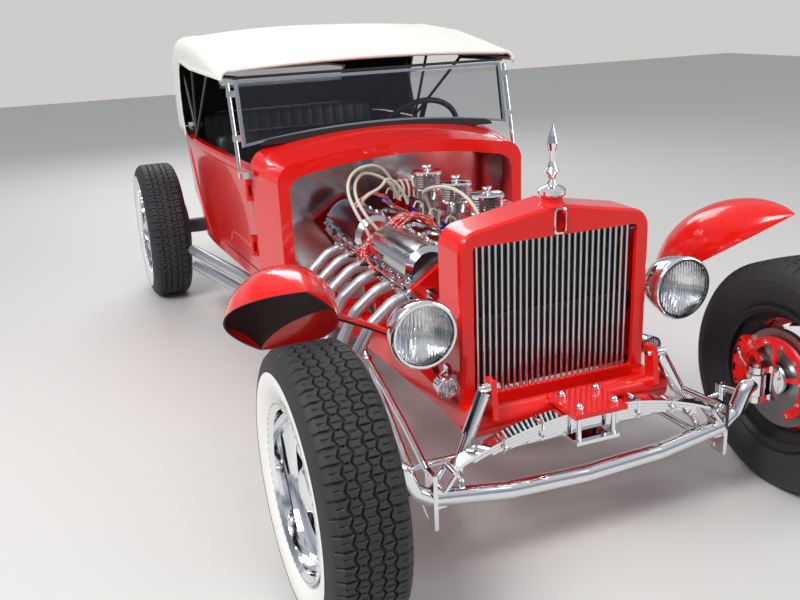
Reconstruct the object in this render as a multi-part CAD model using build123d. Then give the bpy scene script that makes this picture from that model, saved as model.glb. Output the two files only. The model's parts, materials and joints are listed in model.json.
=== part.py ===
"""Open-wheeled hot rod with a twelve-cylinder engine and a fabric top.

The car faces -Y, its left side is +X and up is +Z. The origin lies on the ground,
in the middle of the wheelbase. All sizes are in millimetres.
"""
from build123d import *
from math import cos, pi, radians, sin
import os

# Driving dimensions of the running gear
GEARBOX_Z, GEARBOX_TAIL_R = 350.0, 70.0
HALF_BASE = 1475.0        # middle of the car to either axle line
WHEEL_X = 730.0           # wheel centre plane
TYRE_R = 347.5
TYRE_HALF = 100.0
BEAD_R = 206.0
SEAT_R = BEAD_R - 0.3
KINGPIN_X = 575.0
KINGPIN_R = 10.0
RUN_FIT = 0.05            # radial clearance of a shaft in its bore
SPINDLE_R = 17.0
FRONT_Y = -HALF_BASE
REAR_Y = HALF_BASE
ARM_BACK = 138.0          # steering arm, kingpin to tie rod
TIE_Z = 260.0
TIE_PIN_R = 6.0

# Driving dimensions of the frame and body
RAIL_WIDE = 50.0
CROSS_Y, CROSS_Z, CROSS_R = FRONT_Y + 88, 372.0, 38.0
CLAMP_Y = (FRONT_Y - 45, FRONT_Y + 41)
HORN_X, HORN_Y = 252.0, FRONT_Y + 60
SHELL_Y, SHELL_DEEP = FRONT_Y + 158, 127.0
SHELL_HALF, SHELL_LOW, SHELL_SHOULDER = 295.0, 318.0, 866.0
SHELL_PEAK = SHELL_SHOULDER + 52
GRILLE_HALF, GRILLE_LOW, GRILLE_HIGH = SHELL_HALF - 41.5, SHELL_LOW + 93, SHELL_SHOULDER - 33
GRILLE_BARS = 26
COWL_FRONT, COWL_BACK, FIREWALL_Y = -237.0, 30.0, -57.0
BODY_LOW, BELT_Z = 385.0, 855.0
FLOOR_Z = 450.3
WALL = 25.0
DOOR_FRONT, DOOR_BACK, DOOR_LOW = 62.0, 640.0, 440.0
SEAM = 5.5
TAIL_Y = 1640.0

os.makedirs("parts", exist_ok=True)


def save(name, *solids):
    """Write one node; like pieces that don't touch share it."""
    pieces = []
    for item in solids:
        pieces.extend(item.solids())
    export_step(Compound(children=pieces) if len(pieces) > 1 else pieces[0], f"parts/{name}.step")
    print(name, len(pieces), "solids", flush=True)


def other_side(shape):
    return mirror(shape, about=Plane.YZ)


def block(x_range, y_range, z_range):
    sizes = [high - low for low, high in (x_range, y_range, z_range)]
    centre = [(low + high) / 2 for low, high in (x_range, y_range, z_range)]
    return Pos(*centre) * Box(*sizes)


def tube(points, radius, bend=60.0, bore=0.0):
    """Round bar or pipe along straight runs joined by tangent arcs."""
    path = Line(*points) if len(points) == 2 else FilletPolyline(*points, radius=bend)
    section = Circle(radius)
    if bore:
        section -= Circle(bore)
    return sweep(Plane(origin=path @ 0, z_dir=path % 0) * section, path=path)


def drum(centre, axis, radius, length, bore=0.0):
    """Cylinder centred on a point, along X, Y or Z, with an optional bore."""
    turn = {"x": Rot(0, 90, 0), "y": Rot(90, 0, 0), "z": Rot(0, 0, 0)}[axis]
    solid = Cylinder(radius, length)
    if bore:
        solid -= Cylinder(bore, length + 2)
    return Pos(*centre) * turn * solid


def turned(outline, axis_turn, place):
    """Revolve a closed (radius, along) outline round an axis through a place."""
    face = make_face(Polyline(*[(radius, 0, along) for radius, along in outline], close=True))
    return Pos(*place) * axis_turn * revolve(face, Axis.Z, 360)


OUT_LEFT = Rot(0, 90, 0)     # turned pieces: their axis points to +X
TO_FRONT = Rot(90, 0, 0)     # turned pieces: their axis points to -Y
UPRIGHT = Rot(0, 0, 0)


# Wheels: tyre, rim and brake disc, made at the left and mirrored to the right

def tyre():
    """Hollow tyre with round sidewalls, a beaded foot and a flat tread."""
    outer = [
        Line((BEAD_R, 0, -74), (BEAD_R, 0, -60)),
        Line((BEAD_R, 0, -60), (222, 0, -62)),
        ThreePointArc((222, 0, -62), (272, 0, -88), (322, 0, -72)),
        Line((322, 0, -72), (336, 0, -50)),
        Line((336, 0, -50), (336, 0, 50)),
        Line((336, 0, 50), (322, 0, 72)),
        ThreePointArc((322, 0, 72), (272, 0, 88), (222, 0, 62)),
        Line((222, 0, 62), (BEAD_R, 0, 60)),
        Line((BEAD_R, 0, 60), (BEAD_R, 0, 74)),
        Line((BEAD_R, 0, 74), (222, 0, 80)),
        ThreePointArc((222, 0, 80), (272, 0, TYRE_HALF), (332, 0, 87)),
        Line((332, 0, 87), (346, 0, 70)),
        ThreePointArc((346, 0, 70), (TYRE_R, 0, 0), (346, 0, -70)),
        Line((346, 0, -70), (332, 0, -87)),
        ThreePointArc((332, 0, -87), (272, 0, -TYRE_HALF), (222, 0, -80)),
        Line((222, 0, -80), (BEAD_R, 0, -74)),
    ]
    return OUT_LEFT * revolve(make_face(Wire(outer)), Axis.Z, 360)


def rim():
    """Drop-centre rim with five broad spokes and a domed hub cap."""
    barrel = [
        (218, -90), (218, -83), (SEAT_R, -78), (SEAT_R, -50), (184, -44), (184, 20),
        (SEAT_R, 34), (SEAT_R, 78), (218, 83), (218, 90), (210, 90), (198, 80), (198, 38),
        (176, 24), (176, -48), (198, -58), (198, -80), (210, -90),
    ]
    disc = [
        (176, 10), (176, 22), (150, 34), (120, 40), (88, 34), (60, 30), (30, 30),
        (30, 18), (60, 16), (90, 20), (120, 27), (150, 22),
    ]
    wheel = turned(barrel, UPRIGHT, (0, 0, 0)) + turned(disc, UPRIGHT, (0, 0, 0))
    corners = [(82, -15), (152, -25), (152, 25), (82, 15)]     # radius, degrees
    corners = [(radius * cos(radians(turn)), radius * sin(radians(turn))) for radius, turn in corners]
    window = make_face(Polyline(*corners, close=True))
    window = extrude(fillet(window.vertices(), 11), 60, both=True)
    wheel -= [Rot(0, 0, 90 + 72 * index) * window for index in range(5)]
    hub = turned([(0, -72), (32, -72), (44, -58), (44, 18), (30, 18), (30, 30), (62, 32),
                  (60, 44), (46, 58), (24, 66), (0, 69)], UPRIGHT, (0, 0, 0))
    hub -= Pos(0, 0, -22) * Cylinder(SPINDLE_R + RUN_FIT, 104)
    return OUT_LEFT * (wheel + hub)


def brake_disc():
    """Vented disc on the hub's inner end."""
    disc = Cylinder(148, 18) - Cylinder(44.5, 20) - (Cylinder(142, 6) - Cylinder(92, 6))
    return OUT_LEFT * disc


WHEELS = [  # name, side, axle line
    ("fl", 1, FRONT_Y),
    ("fr", -1, FRONT_Y),
    ("rl", 1, REAR_Y),
    ("rr", -1, REAR_Y),
]
TYRE, RIM, DISC = tyre(), rim(), brake_disc()
DISC_X = WHEEL_X - 62
for name, side, axle_y in WHEELS:
    for part, shape in (("tyre", TYRE), ("rim", RIM)):
        placed = Pos(WHEEL_X, axle_y, TYRE_R) * shape
        save(f"{part}_{name}", placed if side > 0 else other_side(placed))
    placed = Pos(DISC_X, axle_y, TYRE_R) * DISC
    if axle_y == FRONT_Y:
        save(f"brake_disc_{name}", placed if side > 0 else other_side(placed))


# Frame: two box rails, a round front member, cross tubes and the spring pad

RAIL = [  # y, middle x, bottom z, top z
    (FRONT_Y + 75, 272.0, 340.0, 392.0),
    (-1180.0, 287.0, 346.0, 400.0),
    (-1000.0, 300.0, 352.0, 432.0),
    (-637.0, 325.0, 360.0, 450.0),
    (-237.0, 378.0, 360.0, 450.0),
    (925.0, 392.0, 360.0, 450.0),
    (1225.0, 392.0, 432.0, 515.0),
    (REAR_Y + 45, 392.0, 470.0, 540.0),
    (REAR_Y + 285, 392.0, 455.0, 520.0),
]


def rail_x(y):
    """Middle of the rail at y, between two rows of the table."""
    for first, last in zip(RAIL, RAIL[1:]):
        if first[0] <= y <= last[0]:
            return first[1] + (last[1] - first[1]) * (y - first[0]) / (last[0] - first[0])
    return RAIL[-1][1]


CROSS_TUBES = [  # y, z, radius, half length
    (300.0, GEARBOX_Z + GEARBOX_TAIL_R + 14.3, 14.0, 384.0),
    (560.0, 425.0, 20.0, 392.0),
    (1240.0, 470.0, 20.0, 392.0),
    (REAR_Y + 70, 505.0, 20.0, 392.0),
    (REAR_Y + 260, 487.0, 24.0, 392.0),
]


def frame():
    sections = []
    for y, x, low, high in RAIL:
        plane = Plane(origin=(x, y, (low + high) / 2), x_dir=(1, 0, 0), z_dir=(0, 1, 0))
        sections.append(plane * Rectangle(RAIL_WIDE, high - low))
    rail = loft(sections, ruled=True)
    body = rail + other_side(rail) + drum((0, CROSS_Y, CROSS_Z), "x", CROSS_R, 600)
    for y, z, radius, half in CROSS_TUBES:
        body += drum((0, y, z), "x", radius, 2 * half)
    pad = block((-80, 80), (FRONT_Y - 70, FRONT_Y + 75), (402, 416))
    web = block((-42, 42), (FRONT_Y + 35, FRONT_Y + 83), (385, 402))
    ear = [(-25, 395), (15, 360), (30, 500), (-10, 500)]
    ear = Polyline(*[(HORN_Y + y, z) for y, z in ear], close=True)
    horn = extrude(Plane.YZ * make_face(ear), 8, both=True)
    body += pad + web
    for side in (-1, 1):
        body += Pos(side * HORN_X, 0, 0) * horn
    for x in (-53.5, 53.5):
        for y in CLAMP_Y:
            body -= drum((x, y, 409), "z", 7.2, 20)
    for side in (-1, 1):
        body -= drum((side * HORN_X, HORN_Y, 482), "x", 8.1, 30)
    return body


frame_solid = frame()
save("frame", frame_solid)


# Front suspension: dropped tube axle, leaf spring, clamp bolts, shocks and hairpins

AXLE_R = 27.0
EYE_LOW, EYE_HIGH = 316.0, 380.0


def front_axle():
    """Dropped tube, goosenecks and eyes that carry the kingpins."""
    path = [(-KINGPIN_X, FRONT_Y, 350), (-541, FRONT_Y, 345), (-506, FRONT_Y, 268),
            (-458, FRONT_Y, 238), (-240, FRONT_Y, 205), (0, FRONT_Y, 195)]
    half = tube(path, AXLE_R - 3, 34)
    axle = half + other_side(half)
    for side in (-1, 1):
        axle += drum((side * KINGPIN_X, FRONT_Y, 348), "z", 27, EYE_HIGH - EYE_LOW)
        axle -= drum((side * KINGPIN_X, FRONT_Y, 348), "z", KINGPIN_R + RUN_FIT, 80)
        perch = block((side * 436 - 13, side * 436 + 13), (FRONT_Y - 17, FRONT_Y + 17), (212, 268))
        axle += perch
        axle -= drum((side * 436, FRONT_Y, 264), "y", 5.1, 60)
    return axle


def leaf_spring(y, middle_z, end_z, half, leaves, wide, thick):
    """Bowed transverse leaves, each shorter than the one above it."""
    pack = []
    rise = middle_z - end_z
    for index in range(leaves):
        reach = half * (1 - 0.13 * index)
        drop = index * (thick + 0.4)
        end = middle_z - rise * (reach / half) ** 2 - drop
        top = ThreePointArc((-reach, 0, end), (0, 0, middle_z - drop), (reach, 0, end))
        low = ThreePointArc((reach, 0, end - thick), (0, 0, middle_z - drop - thick),
                            (-reach, 0, end - thick))
        outline = Wire([top, Line(top @ 1, low @ 0), low, Line(low @ 1, top @ 0)])
        pack.append(Pos(0, y + wide / 2, 0) * extrude(make_face(outline), wide, dir=(0, -1, 0)))
    return pack


LEAF_WIDE = 45.0
front_leaves = leaf_spring(FRONT_Y, 401.5, 318.0, 398.0, 7, LEAF_WIDE, 8.0)
save("front_spring", *front_leaves)


def spring_bolts():
    """Two long clamp loops with a lower plate and domed nuts on the pad."""
    pieces = []
    for x in (-53.5, 53.5):
        for y in CLAMP_Y:
            bolt = drum((x, y, 375), "z", 7, 112)
            bolt += drum((x, y, 421), "z", 12, 9.6)
            bolt += Pos(x, y, 426) * Sphere(10)
            pieces.append(bolt)
    plate = block((-66, 66), (CLAMP_Y[0] - 14, CLAMP_Y[1] + 18), (320, 330))
    for bolt in pieces:
        plate += bolt
    return plate


def shackles():
    """Links from the spring's ends down to the axle's perches."""
    pieces = []
    for side in (-1, 1):
        link = tube([(side * 404, FRONT_Y + 28, 306), (side * 436, FRONT_Y + 28, 264)], 8)
        link += tube([(side * 404, FRONT_Y - 28, 306), (side * 436, FRONT_Y - 28, 264)], 8)
        link += drum((side * 436, FRONT_Y, 264), "y", 5, 56)
        link += drum((side * 404, FRONT_Y, 306), "y", 7, 56)
        pieces.append(link)
    return pieces


save("spring_fixings", spring_bolts(), *shackles())


def shock():
    """Chrome telescopic damper between the frame horn and the axle."""
    top, low = Vector(HORN_X + 19, HORN_Y, 482), Vector(372, HORN_Y - 25, 286)
    along = (low - top).normalized()
    body = tube([top + along * 12, top + along * 130], 19)
    body += tube([top + along * 118, low], 13)
    body += Pos(*top) * Rot(0, 90, 0) * Cylinder(13, 20)
    body += Pos(*low) * Rot(90, 0, 0) * Cylinder(13, 30)
    body += drum((HORN_X + 10, HORN_Y, 482), "x", 8, 60)
    return body


def front_shocks():
    left = shock()
    left += tube([(372, HORN_Y - 25, 286), (372, FRONT_Y + 5, 262), (372, FRONT_Y, 250)], 9, 12)
    return left


axle_solid = front_axle()
left_shock = front_shocks() - axle_solid - frame_solid
save("front_shocks", left_shock, other_side(left_shock))


def radius_rod():
    """Hairpin rod from the axle's bracket back to the rail."""
    rod = tube([(457, FRONT_Y + 13, 298), (410, -1180, 302), (352, -720, 322)], 10, 300)
    rod += tube([(457, FRONT_Y + 13, 172), (410, -1180, 200), (352, -720, 318)], 10, 300)
    rod += Pos(352, -712, 321) * Sphere(17)
    rod += block((451, 463), (FRONT_Y - 25, FRONT_Y + 27), (155, 312))
    rod += tube([(352, -712, 321), (352, -690, 340), (340, -660, 359.5)], 9, 12)
    return rod


left_rod = radius_rod() - frame_solid - axle_solid
save("radius_rods", left_rod, other_side(left_rod))

save("front_axle", axle_solid)


# Steering: knuckles with kingpins and spindles, calipers and the tie rod

def knuckle():
    """Yoke round the axle's eye, kingpin, spindle and steering arm."""
    body = drum((KINGPIN_X, FRONT_Y, 348), "z", KINGPIN_R, 120)
    for z in (EYE_HIGH + 11, EYE_LOW - 14):
        body += drum((KINGPIN_X, FRONT_Y, z), "z", 21, 20)
        body += block((KINGPIN_X, 634), (FRONT_Y - 20, FRONT_Y + 20), (z - 10, z + 10))
    body += block((608, 634), (FRONT_Y - 26, FRONT_Y + 26), (EYE_LOW - 21, EYE_HIGH + 21))
    body += drum((640, FRONT_Y, TYRE_R), "x", 30, 24)
    body += drum((WHEEL_X - 42, FRONT_Y, TYRE_R), "x", SPINDLE_R, 140)
    body += tube([(KINGPIN_X + 20, FRONT_Y + 10, EYE_LOW - 14), (590, FRONT_Y + 70, 285),
                  (KINGPIN_X, FRONT_Y + ARM_BACK, 282)], 12, 40)
    body += drum((KINGPIN_X, FRONT_Y + ARM_BACK, 282), "z", 17, 24)
    body -= drum((KINGPIN_X, FRONT_Y + ARM_BACK, 282), "z", TIE_PIN_R + RUN_FIT, 30)
    return body


def caliper():
    """Red caliper over the rear edge of the disc, with its bracket."""
    body = block((DISC_X - 32, DISC_X + 32), (FRONT_Y + 92, FRONT_Y + 164), (TYRE_R - 46, TYRE_R + 46))
    body = chamfer(body.edges().filter_by(Axis.X), 14)
    body -= drum((DISC_X, FRONT_Y, TYRE_R), "x", 153, 28)
    body += block((634.3, 650), (FRONT_Y + 40, FRONT_Y + 160), (TYRE_R - 30, TYRE_R + 30))
    body += block((634.3, 646), (FRONT_Y - 40, FRONT_Y + 60), (TYRE_R + 40, TYRE_R + 92))
    body += block((634.3, 646), (FRONT_Y + 30, FRONT_Y + 62), (TYRE_R + 20, TYRE_R + 92))
    return body


left_knuckle, left_caliper = knuckle(), caliper()
save("knuckle_left", left_knuckle)
save("knuckle_right", other_side(left_knuckle))
save("caliper_left", left_caliper)
save("caliper_right", other_side(left_caliper))


def tie_rod():
    """Rod between the steering arms, on pins under their eyes."""
    y = FRONT_Y + ARM_BACK
    rod = drum((0, y, TIE_Z - 6), "x", 11, 2 * KINGPIN_X - 30)
    for side in (-1, 1):
        rod += drum((side * KINGPIN_X, y, TIE_Z - 6), "z", 16, 30)
        rod += drum((side * KINGPIN_X, y, 277), "z", TIE_PIN_R, 30)
    return rod


save("tie_rod", tie_rod())


# Radiator: flat-fronted shell with a gable top, grille bars, core and cap

def shell_outline(half, low, shoulder, peak, corner):
    """Gable outline with round shoulders, drawn in the XZ plane."""
    slope = (peak - shoulder) / half
    inner_x, inner_z = half - corner, shoulder + slope * corner
    bulge = corner * 0.28
    return Wire([
        Line((-half, 0, low), (-half, 0, shoulder - corner)),
        ThreePointArc((-half, 0, shoulder - corner), (-half + bulge, 0, shoulder - bulge),
                      (-inner_x, 0, inner_z)),
        Line((-inner_x, 0, inner_z), (0, 0, peak)),
        Line((0, 0, peak), (inner_x, 0, inner_z)),
        ThreePointArc((inner_x, 0, inner_z), (half - bulge, 0, shoulder - bulge),
                      (half, 0, shoulder - corner)),
        Line((half, 0, shoulder - corner), (half, 0, low)),
        Line((half, 0, low), (-half, 0, low)),
    ])


def slab(outline, y, depth):
    """Flat outline in the XZ plane pushed rearwards from y."""
    return Pos(0, y, 0) * extrude(make_face(outline), depth, dir=(0, 1, 0))


def radiator_shell():
    outer = slab(shell_outline(SHELL_HALF, SHELL_LOW, SHELL_SHOULDER, SHELL_PEAK, 46),
                 SHELL_Y, SHELL_DEEP)
    rims = outer.edges().group_by(Axis.Y)
    outer = chamfer(rims[0].filter_by(lambda edge: edge.center().Z > SHELL_LOW + 1), 7)
    inner = slab(shell_outline(SHELL_HALF - 14, SHELL_LOW - 5, SHELL_SHOULDER - 14,
                               SHELL_PEAK - 14, 38), SHELL_Y + 14, SHELL_DEEP)
    high, wide = GRILLE_HIGH - GRILLE_LOW, 2 * GRILLE_HALF
    opening = Pos(0, SHELL_Y, (GRILLE_LOW + GRILLE_HIGH) / 2) * Box(wide, 60, high)
    opening = fillet(opening.edges().filter_by(Axis.Y), 10)
    body = outer - inner - opening
    body += turned([(0, 0), (40, 0), (31, 10), (28, 26), (0, 26)], UPRIGHT,
                   (0, SHELL_Y + 33, SHELL_PEAK - 9))
    return body - frame_solid


def grille():
    """Upright half-round bars on two cross rails."""
    pitch = 2 * GRILLE_HALF / (GRILLE_BARS + 1)
    section = Plane.XY.offset(GRILLE_LOW + 3) * (Pos(0, -5) * Circle(4.6) + Pos(0, 2) * Rectangle(9.2, 14))
    bar = extrude(section, GRILLE_HIGH - GRILLE_LOW - 6)
    solids = []
    for index in range(GRILLE_BARS):
        solids.append(Pos(-GRILLE_HALF + pitch * (index + 1), SHELL_Y + 24, 0) * bar)
    for z in (GRILLE_LOW + 10, (GRILLE_LOW + GRILLE_HIGH) / 2, GRILLE_HIGH - 10):
        solids.append(block((-GRILLE_HALF - 10, GRILLE_HALF + 10), (SHELL_Y + 14, SHELL_Y + 24),
                            (z - 6, z + 6)))
    rack = solids[0].fuse(*solids[1:])
    return rack


shell_solid = radiator_shell()
save("radiator_shell", shell_solid)
save("grille", grille())


def radiator_core():
    """Tube-and-fin core with top and bottom tanks and two necks."""
    half = SHELL_HALF - 49
    core = block((6 - half, half - 6), (SHELL_Y + 44, SHELL_Y + 96), (430, SHELL_SHOULDER - 36))
    for low, high in ((SHELL_SHOULDER - 40, SHELL_SHOULDER - 11), (423, 440)):
        core += block((-half, half), (SHELL_Y + 40, SHELL_Y + 100), (low, high))
    core += drum((90, SHELL_Y + 116, SHELL_SHOULDER - 20), "y", 20, 40)
    core += drum((-150, SHELL_Y + 116, 470), "y", 20, 60)
    for side in (-1, 1):
        lug = side * (SHELL_HALF - 37)
        core += block((lug - 23, lug + 23), (SHELL_Y + 60, SHELL_Y + 76), (560, 600))
    return core


save("radiator_core", radiator_core())


def radiator_cap():
    """Turned cap under a slim turned finial."""
    profile = [(0, 0), (34, 0), (38, 6), (38, 16), (30, 24), (14, 30), (8, 44), (13, 58),
               (20, 66), (13, 76), (7, 92), (10, 120), (15, 140), (10, 160), (4, 178), (2, 188), (0, 188)]
    return turned(profile, UPRIGHT, (0, SHELL_Y + 33, SHELL_PEAK + 17.3))


save("radiator_cap", radiator_cap())


# Lamps: two headlamps, two small lamps, their lenses and brackets

LAMP_X, LAMP_Y, LAMP_Z, LAMP_R = SHELL_HALF + 110, SHELL_Y - 24, 626.0, 94.0
SMALL_X, SMALL_Y, SMALL_Z, SMALL_R = SHELL_HALF + 35, SHELL_Y + 10, 450.0, 31.0


def headlamp():
    """Deep bucket with a rolled rim, hollow behind the lens."""
    outer = [Line((0, 0, -150), (14, 0, -150)),
             ThreePointArc((14, 0, -150), (66, 0, -98), (LAMP_R - 6, 0, -22)),
             Line((LAMP_R - 6, 0, -22), (LAMP_R - 6, 0, -14)),
             ThreePointArc((LAMP_R - 6, 0, -14), (LAMP_R, 0, -5), (LAMP_R - 6, 0, 4)),
             Line((LAMP_R - 6, 0, 4), (LAMP_R - 12, 0, 4)),
             Line((LAMP_R - 12, 0, 4), (LAMP_R - 12, 0, -16)),
             ThreePointArc((LAMP_R - 12, 0, -16), (58, 0, -92), (8, 0, -138)),
             Line((8, 0, -138), (0, 0, -138)), Line((0, 0, -138), (0, 0, -150))]
    return Pos(LAMP_X, LAMP_Y, LAMP_Z) * TO_FRONT * revolve(make_face(Wire(outer)), Axis.Z, 360)


def small_lamp():
    cup = turned([(0, -62), (12, -62), (26, -40), (29, -8), (SMALL_R, -4), (SMALL_R, 4),
                  (26, 4), (26, -8), (20, -30), (0, -40)], TO_FRONT, (SMALL_X, SMALL_Y, SMALL_Z))
    return cup


def lens(x, y, z, radius, bulge, thick):
    """Domed glass disc."""
    edge = [Line((0, 0, -thick), (radius, 0, -thick)), Line((radius, 0, -thick), (radius, 0, 0)),
            ThreePointArc((radius, 0, 0), (radius * 0.6, 0, bulge * 0.66), (4, 0, bulge)),
            Line((4, 0, bulge), (0, 0, bulge)), Line((0, 0, bulge), (0, 0, -thick))]
    return Pos(x, y, z) * TO_FRONT * revolve(make_face(Wire(edge)), Axis.Z, 360)


left_lamp, left_small = headlamp(), small_lamp()
save("headlamps", left_lamp, other_side(left_lamp))
save("small_lamps", left_small, other_side(left_small))
left_lens = lens(LAMP_X, LAMP_Y + 2, LAMP_Z, LAMP_R - 12.3, 14, 5)
left_small_lens = lens(SMALL_X, SMALL_Y + 1, SMALL_Z, 25.7, 5, 4)
save("lamp_lenses", left_lens, other_side(left_lens), left_small_lens, other_side(left_small_lens))


def lamp_bracket():
    """Arms from the shell's side to the headlamp and the small lamp."""
    y = SHELL_Y + 92
    arm = tube([(SHELL_HALF + 6, y, 600), (SHELL_HALF + 30, y - 2, 604), (SHELL_HALF + 47, y - 15, 612)],
               11, 12)
    arm += block((SHELL_HALF + 0.1, SHELL_HALF + 8), (y - 25, y + 25), (575, 625))
    arm += tube([(SHELL_HALF + 2, y - 7, 470), (SHELL_HALF + 17, y - 11, 462), (SMALL_X, y - 26, 452)],
                7, 8)
    arm += block((SHELL_HALF + 0.1, SHELL_HALF + 6), (y - 21, y + 7), (456, 484))
    return arm - left_lamp - left_small - shell_solid


left_arm = lamp_bracket()
save("lamp_brackets", left_arm, other_side(left_arm))


# Front fenders: leaf-shaped shells on struts

FENDER_X, FENDER_Y, FENDER_Z = 728.0, -1115.0, 640.0
FENDER_HALF_LONG, FENDER_HALF_WIDE, FENDER_SKIN = 345.0, 148.0, 4.0
FENDER_PITCH, FENDER_LEAN = 31.0, 16.0


def spindle(half_long, half_wide):
    """Pointed spindle: an arc turned about its own chord."""
    arc = ThreePointArc((-half_long, 0, 0), (0, half_wide, 0), (half_long, 0, 0))
    face = make_face(Wire([arc, Line((half_long, 0, 0), (-half_long, 0, 0))]))
    return revolve(face, Axis.X, 360)


def fender():
    """Upper part of a hollow spindle, its outer lip lower than the inner one."""
    leaf = spindle(FENDER_HALF_LONG, FENDER_HALF_WIDE)
    leaf -= spindle(FENDER_HALF_LONG - 12, FENDER_HALF_WIDE - FENDER_SKIN)
    keep = Rot(-FENDER_LEAN, 0, 0) * Pos(0, 0, 300) * Box(900, 600, 600)
    leaf = leaf & keep
    place = Pos(FENDER_X, FENDER_Y, FENDER_Z) * Rot(-FENDER_PITCH, 0, 0) * Rot(0, 0, 90)
    return place * leaf


left_fender = fender()

def strut():
    """Bent bar from the rail up to the fender's underside."""
    bar = tube([(292, -1150, 431), (330, -1150, 520), (470, -1120, 590), (640, -1105, 668)], 10, 60)
    return (bar - left_fender - frame_solid).solids().sort_by(Axis.Z)[0]


left_fender += strut()
save("front_fenders", left_fender, other_side(left_fender))


# Engine: block, heads, covers, intake, air cleaners and front pulleys

ENGINE_FRONT, ENGINE_BACK = -1020.0, -140.0
HEAD_LOW, HEAD_OUT, HEAD_IN, HEAD_VALLEY = (256, 571), (305, 640), (165, 735), (116, 666)
HEAD = (HEAD_LOW, HEAD_OUT, HEAD_IN, HEAD_VALLEY)
COVERS = [  # y front, y back
    (-1000.0, -626.0),
    (-544.0, -170.0),
]
MOUNT_Y = (-820.0, -300.0)
CARB_Y = (-867.0, -637.0, -397.0)
CARB_X = 18.0


def along_y(points, front, back):
    face = make_face(Polyline(*[(x, 0, z) for x, z in points], close=True))
    return Pos(0, front, 0) * extrude(face, back - front, dir=(0, 1, 0))


def engine_block():
    half = [(0, 240), (105, 240), (140, 320), (168, 430), HEAD_LOW, HEAD_VALLEY, (70, 600), (0, 600)]
    outline = half + [(-x, z) for x, z in reversed(half[1:-1])]
    body = along_y(outline, ENGINE_FRONT, ENGINE_BACK)
    body += along_y([(-125, 330), (125, 330), (125, 560), (60, 640), (-60, 640), (-125, 560)],
                    ENGINE_FRONT - 26, ENGINE_FRONT)
    for index in range(7):
        y = ENGINE_FRONT + 70 + index * 123
        for side in (-1, 1):
            body += block((side * 172 - 12, side * 172 + 12), (y - 8, y + 8), (340, 440))
    for y in MOUNT_Y:
        reach = rail_x(y) - RAIL_WIDE / 2 + 4
        body += block((-reach, reach), (y - 18, y + 18), (372, 392))
    return body - frame_solid


block_solid = engine_block()
save("engine_block", block_solid)


def heads():
    pieces = []
    for side in (-1, 1):
        outline = [(side * x, z) for x, z in HEAD]
        pieces.append(along_y(outline, ENGINE_FRONT + 8, ENGINE_BACK - 8))
    return pieces


save("cylinder_heads", *heads())


def cover(front, back):
    """Polished dome with a flange, lying on the head's slope."""
    middle = ((HEAD_OUT[0] + HEAD_IN[0]) / 2, (HEAD_OUT[1] + HEAD_IN[1]) / 2)
    slope = Plane(origin=(middle[0], (front + back) / 2, middle[1]), x_dir=(0, 1, 0),
                  z_dir=(HEAD_IN[1] - HEAD_OUT[1], 0, HEAD_OUT[0] - HEAD_IN[0]))
    long = back - front
    flange = extrude(slope * RectangleRounded(long, 166, 18), 8)
    dome_face = make_face(Wire([
        Line((0, -66, 8), (0, -66, 26)),
        ThreePointArc((0, -66, 26), (0, 0, 66), (0, 66, 26)),
        Line((0, 66, 26), (0, 66, 8)), Line((0, 66, 8), (0, -66, 8))]))
    dome = Pos(-(long - 36) / 2, 0, 0) * extrude(dome_face, long - 36, dir=(1, 0, 0))
    ends = dome.edges().group_by(Axis.X)
    arcs = [edge for edge in list(ends[0]) + list(ends[-1]) if edge.geom_type == GeomType.CIRCLE]
    dome = chamfer(arcs, 16)
    return flange + slope.location * dome


cover_solids = []
for front, back in COVERS:
    left_cover = cover(front, back)
    cover_solids += [left_cover, other_side(left_cover)]
save("engine_covers", *cover_solids)


def intake():
    """Plenum in the valley with six runners a side and a pad for each air cleaner."""
    body = along_y([(-58, 640), (58, 640), (58, 706), (40, 724), (-40, 724), (-58, 706)],
                   ENGINE_FRONT + 60, ENGINE_BACK - 60)
    for index in range(6):
        y = ENGINE_FRONT + 105 + index * 134
        for side in (-1, 1):
            body += tube([(side * 40, y, 680), (side * 95, y, 700), (side * 128, y, 684)], 17, 30)
    for y in CARB_Y:
        body += block((CARB_X - 42, CARB_X + 42), (y - 52, y + 52), (722, 770))
        body += drum((CARB_X, y, 778), "z", 34, 30)
    body += block((-40, 40), (ENGINE_FRONT + 80, ENGINE_BACK - 80), (600.1, 642))
    for side in (-1, 1):
        outline = [(side * x, z) for x, z in HEAD]
        body -= along_y(outline, ENGINE_FRONT + 8, ENGINE_BACK - 8)
    return body


intake_solid = intake()
save("intake_manifold", intake_solid)


# Hoses and plug leads held by the engine, cut flush where they enter a part

HOSE_R, HOSE_BEND, FITTING_R = 9.0, 92.0, 14.0
HOSES = [  # points from the plenum to the far end
    [(-48, -660, 700), (-56, -725, 822), (-60, -850, 872), (-60, -965, 835), (-50, -992, 630)],
    [(-48, -430, 700), (-60, -424, 852), (-196, -560, 862), (-214, -570, 660)],
    [(-46, -330, 700), (-56, -330, 892), (-240, -570, 912), (-262, -586, 640)],
]
LEAD_R, LEAD_BEND, BOOT_R = 3.5, 36.0, 8.0
LEADS = [  # y over the head, y at the plug
    (-618.0, -750.0),
    (-609.0, -620.0),
    (-600.0, -500.0),
]


def engine_solids(side):
    return along_y([(side * x, z) for x, z in HEAD], ENGINE_FRONT + 8, ENGINE_BACK - 8)


def hose(points):
    """Braided hose with a round fitting at both ends."""
    body = tube(points, HOSE_R, HOSE_BEND)
    for end, onward in ((0, 1), (-1, -2)):
        first, second = Vector(*points[end]), Vector(*points[onward])
        along_hose = (second - first).normalized()
        body += tube([first + along_hose * 2, first + along_hose * 50], FITTING_R)
    return body - intake_solid - engine_solids(-1) - block_solid


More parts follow.
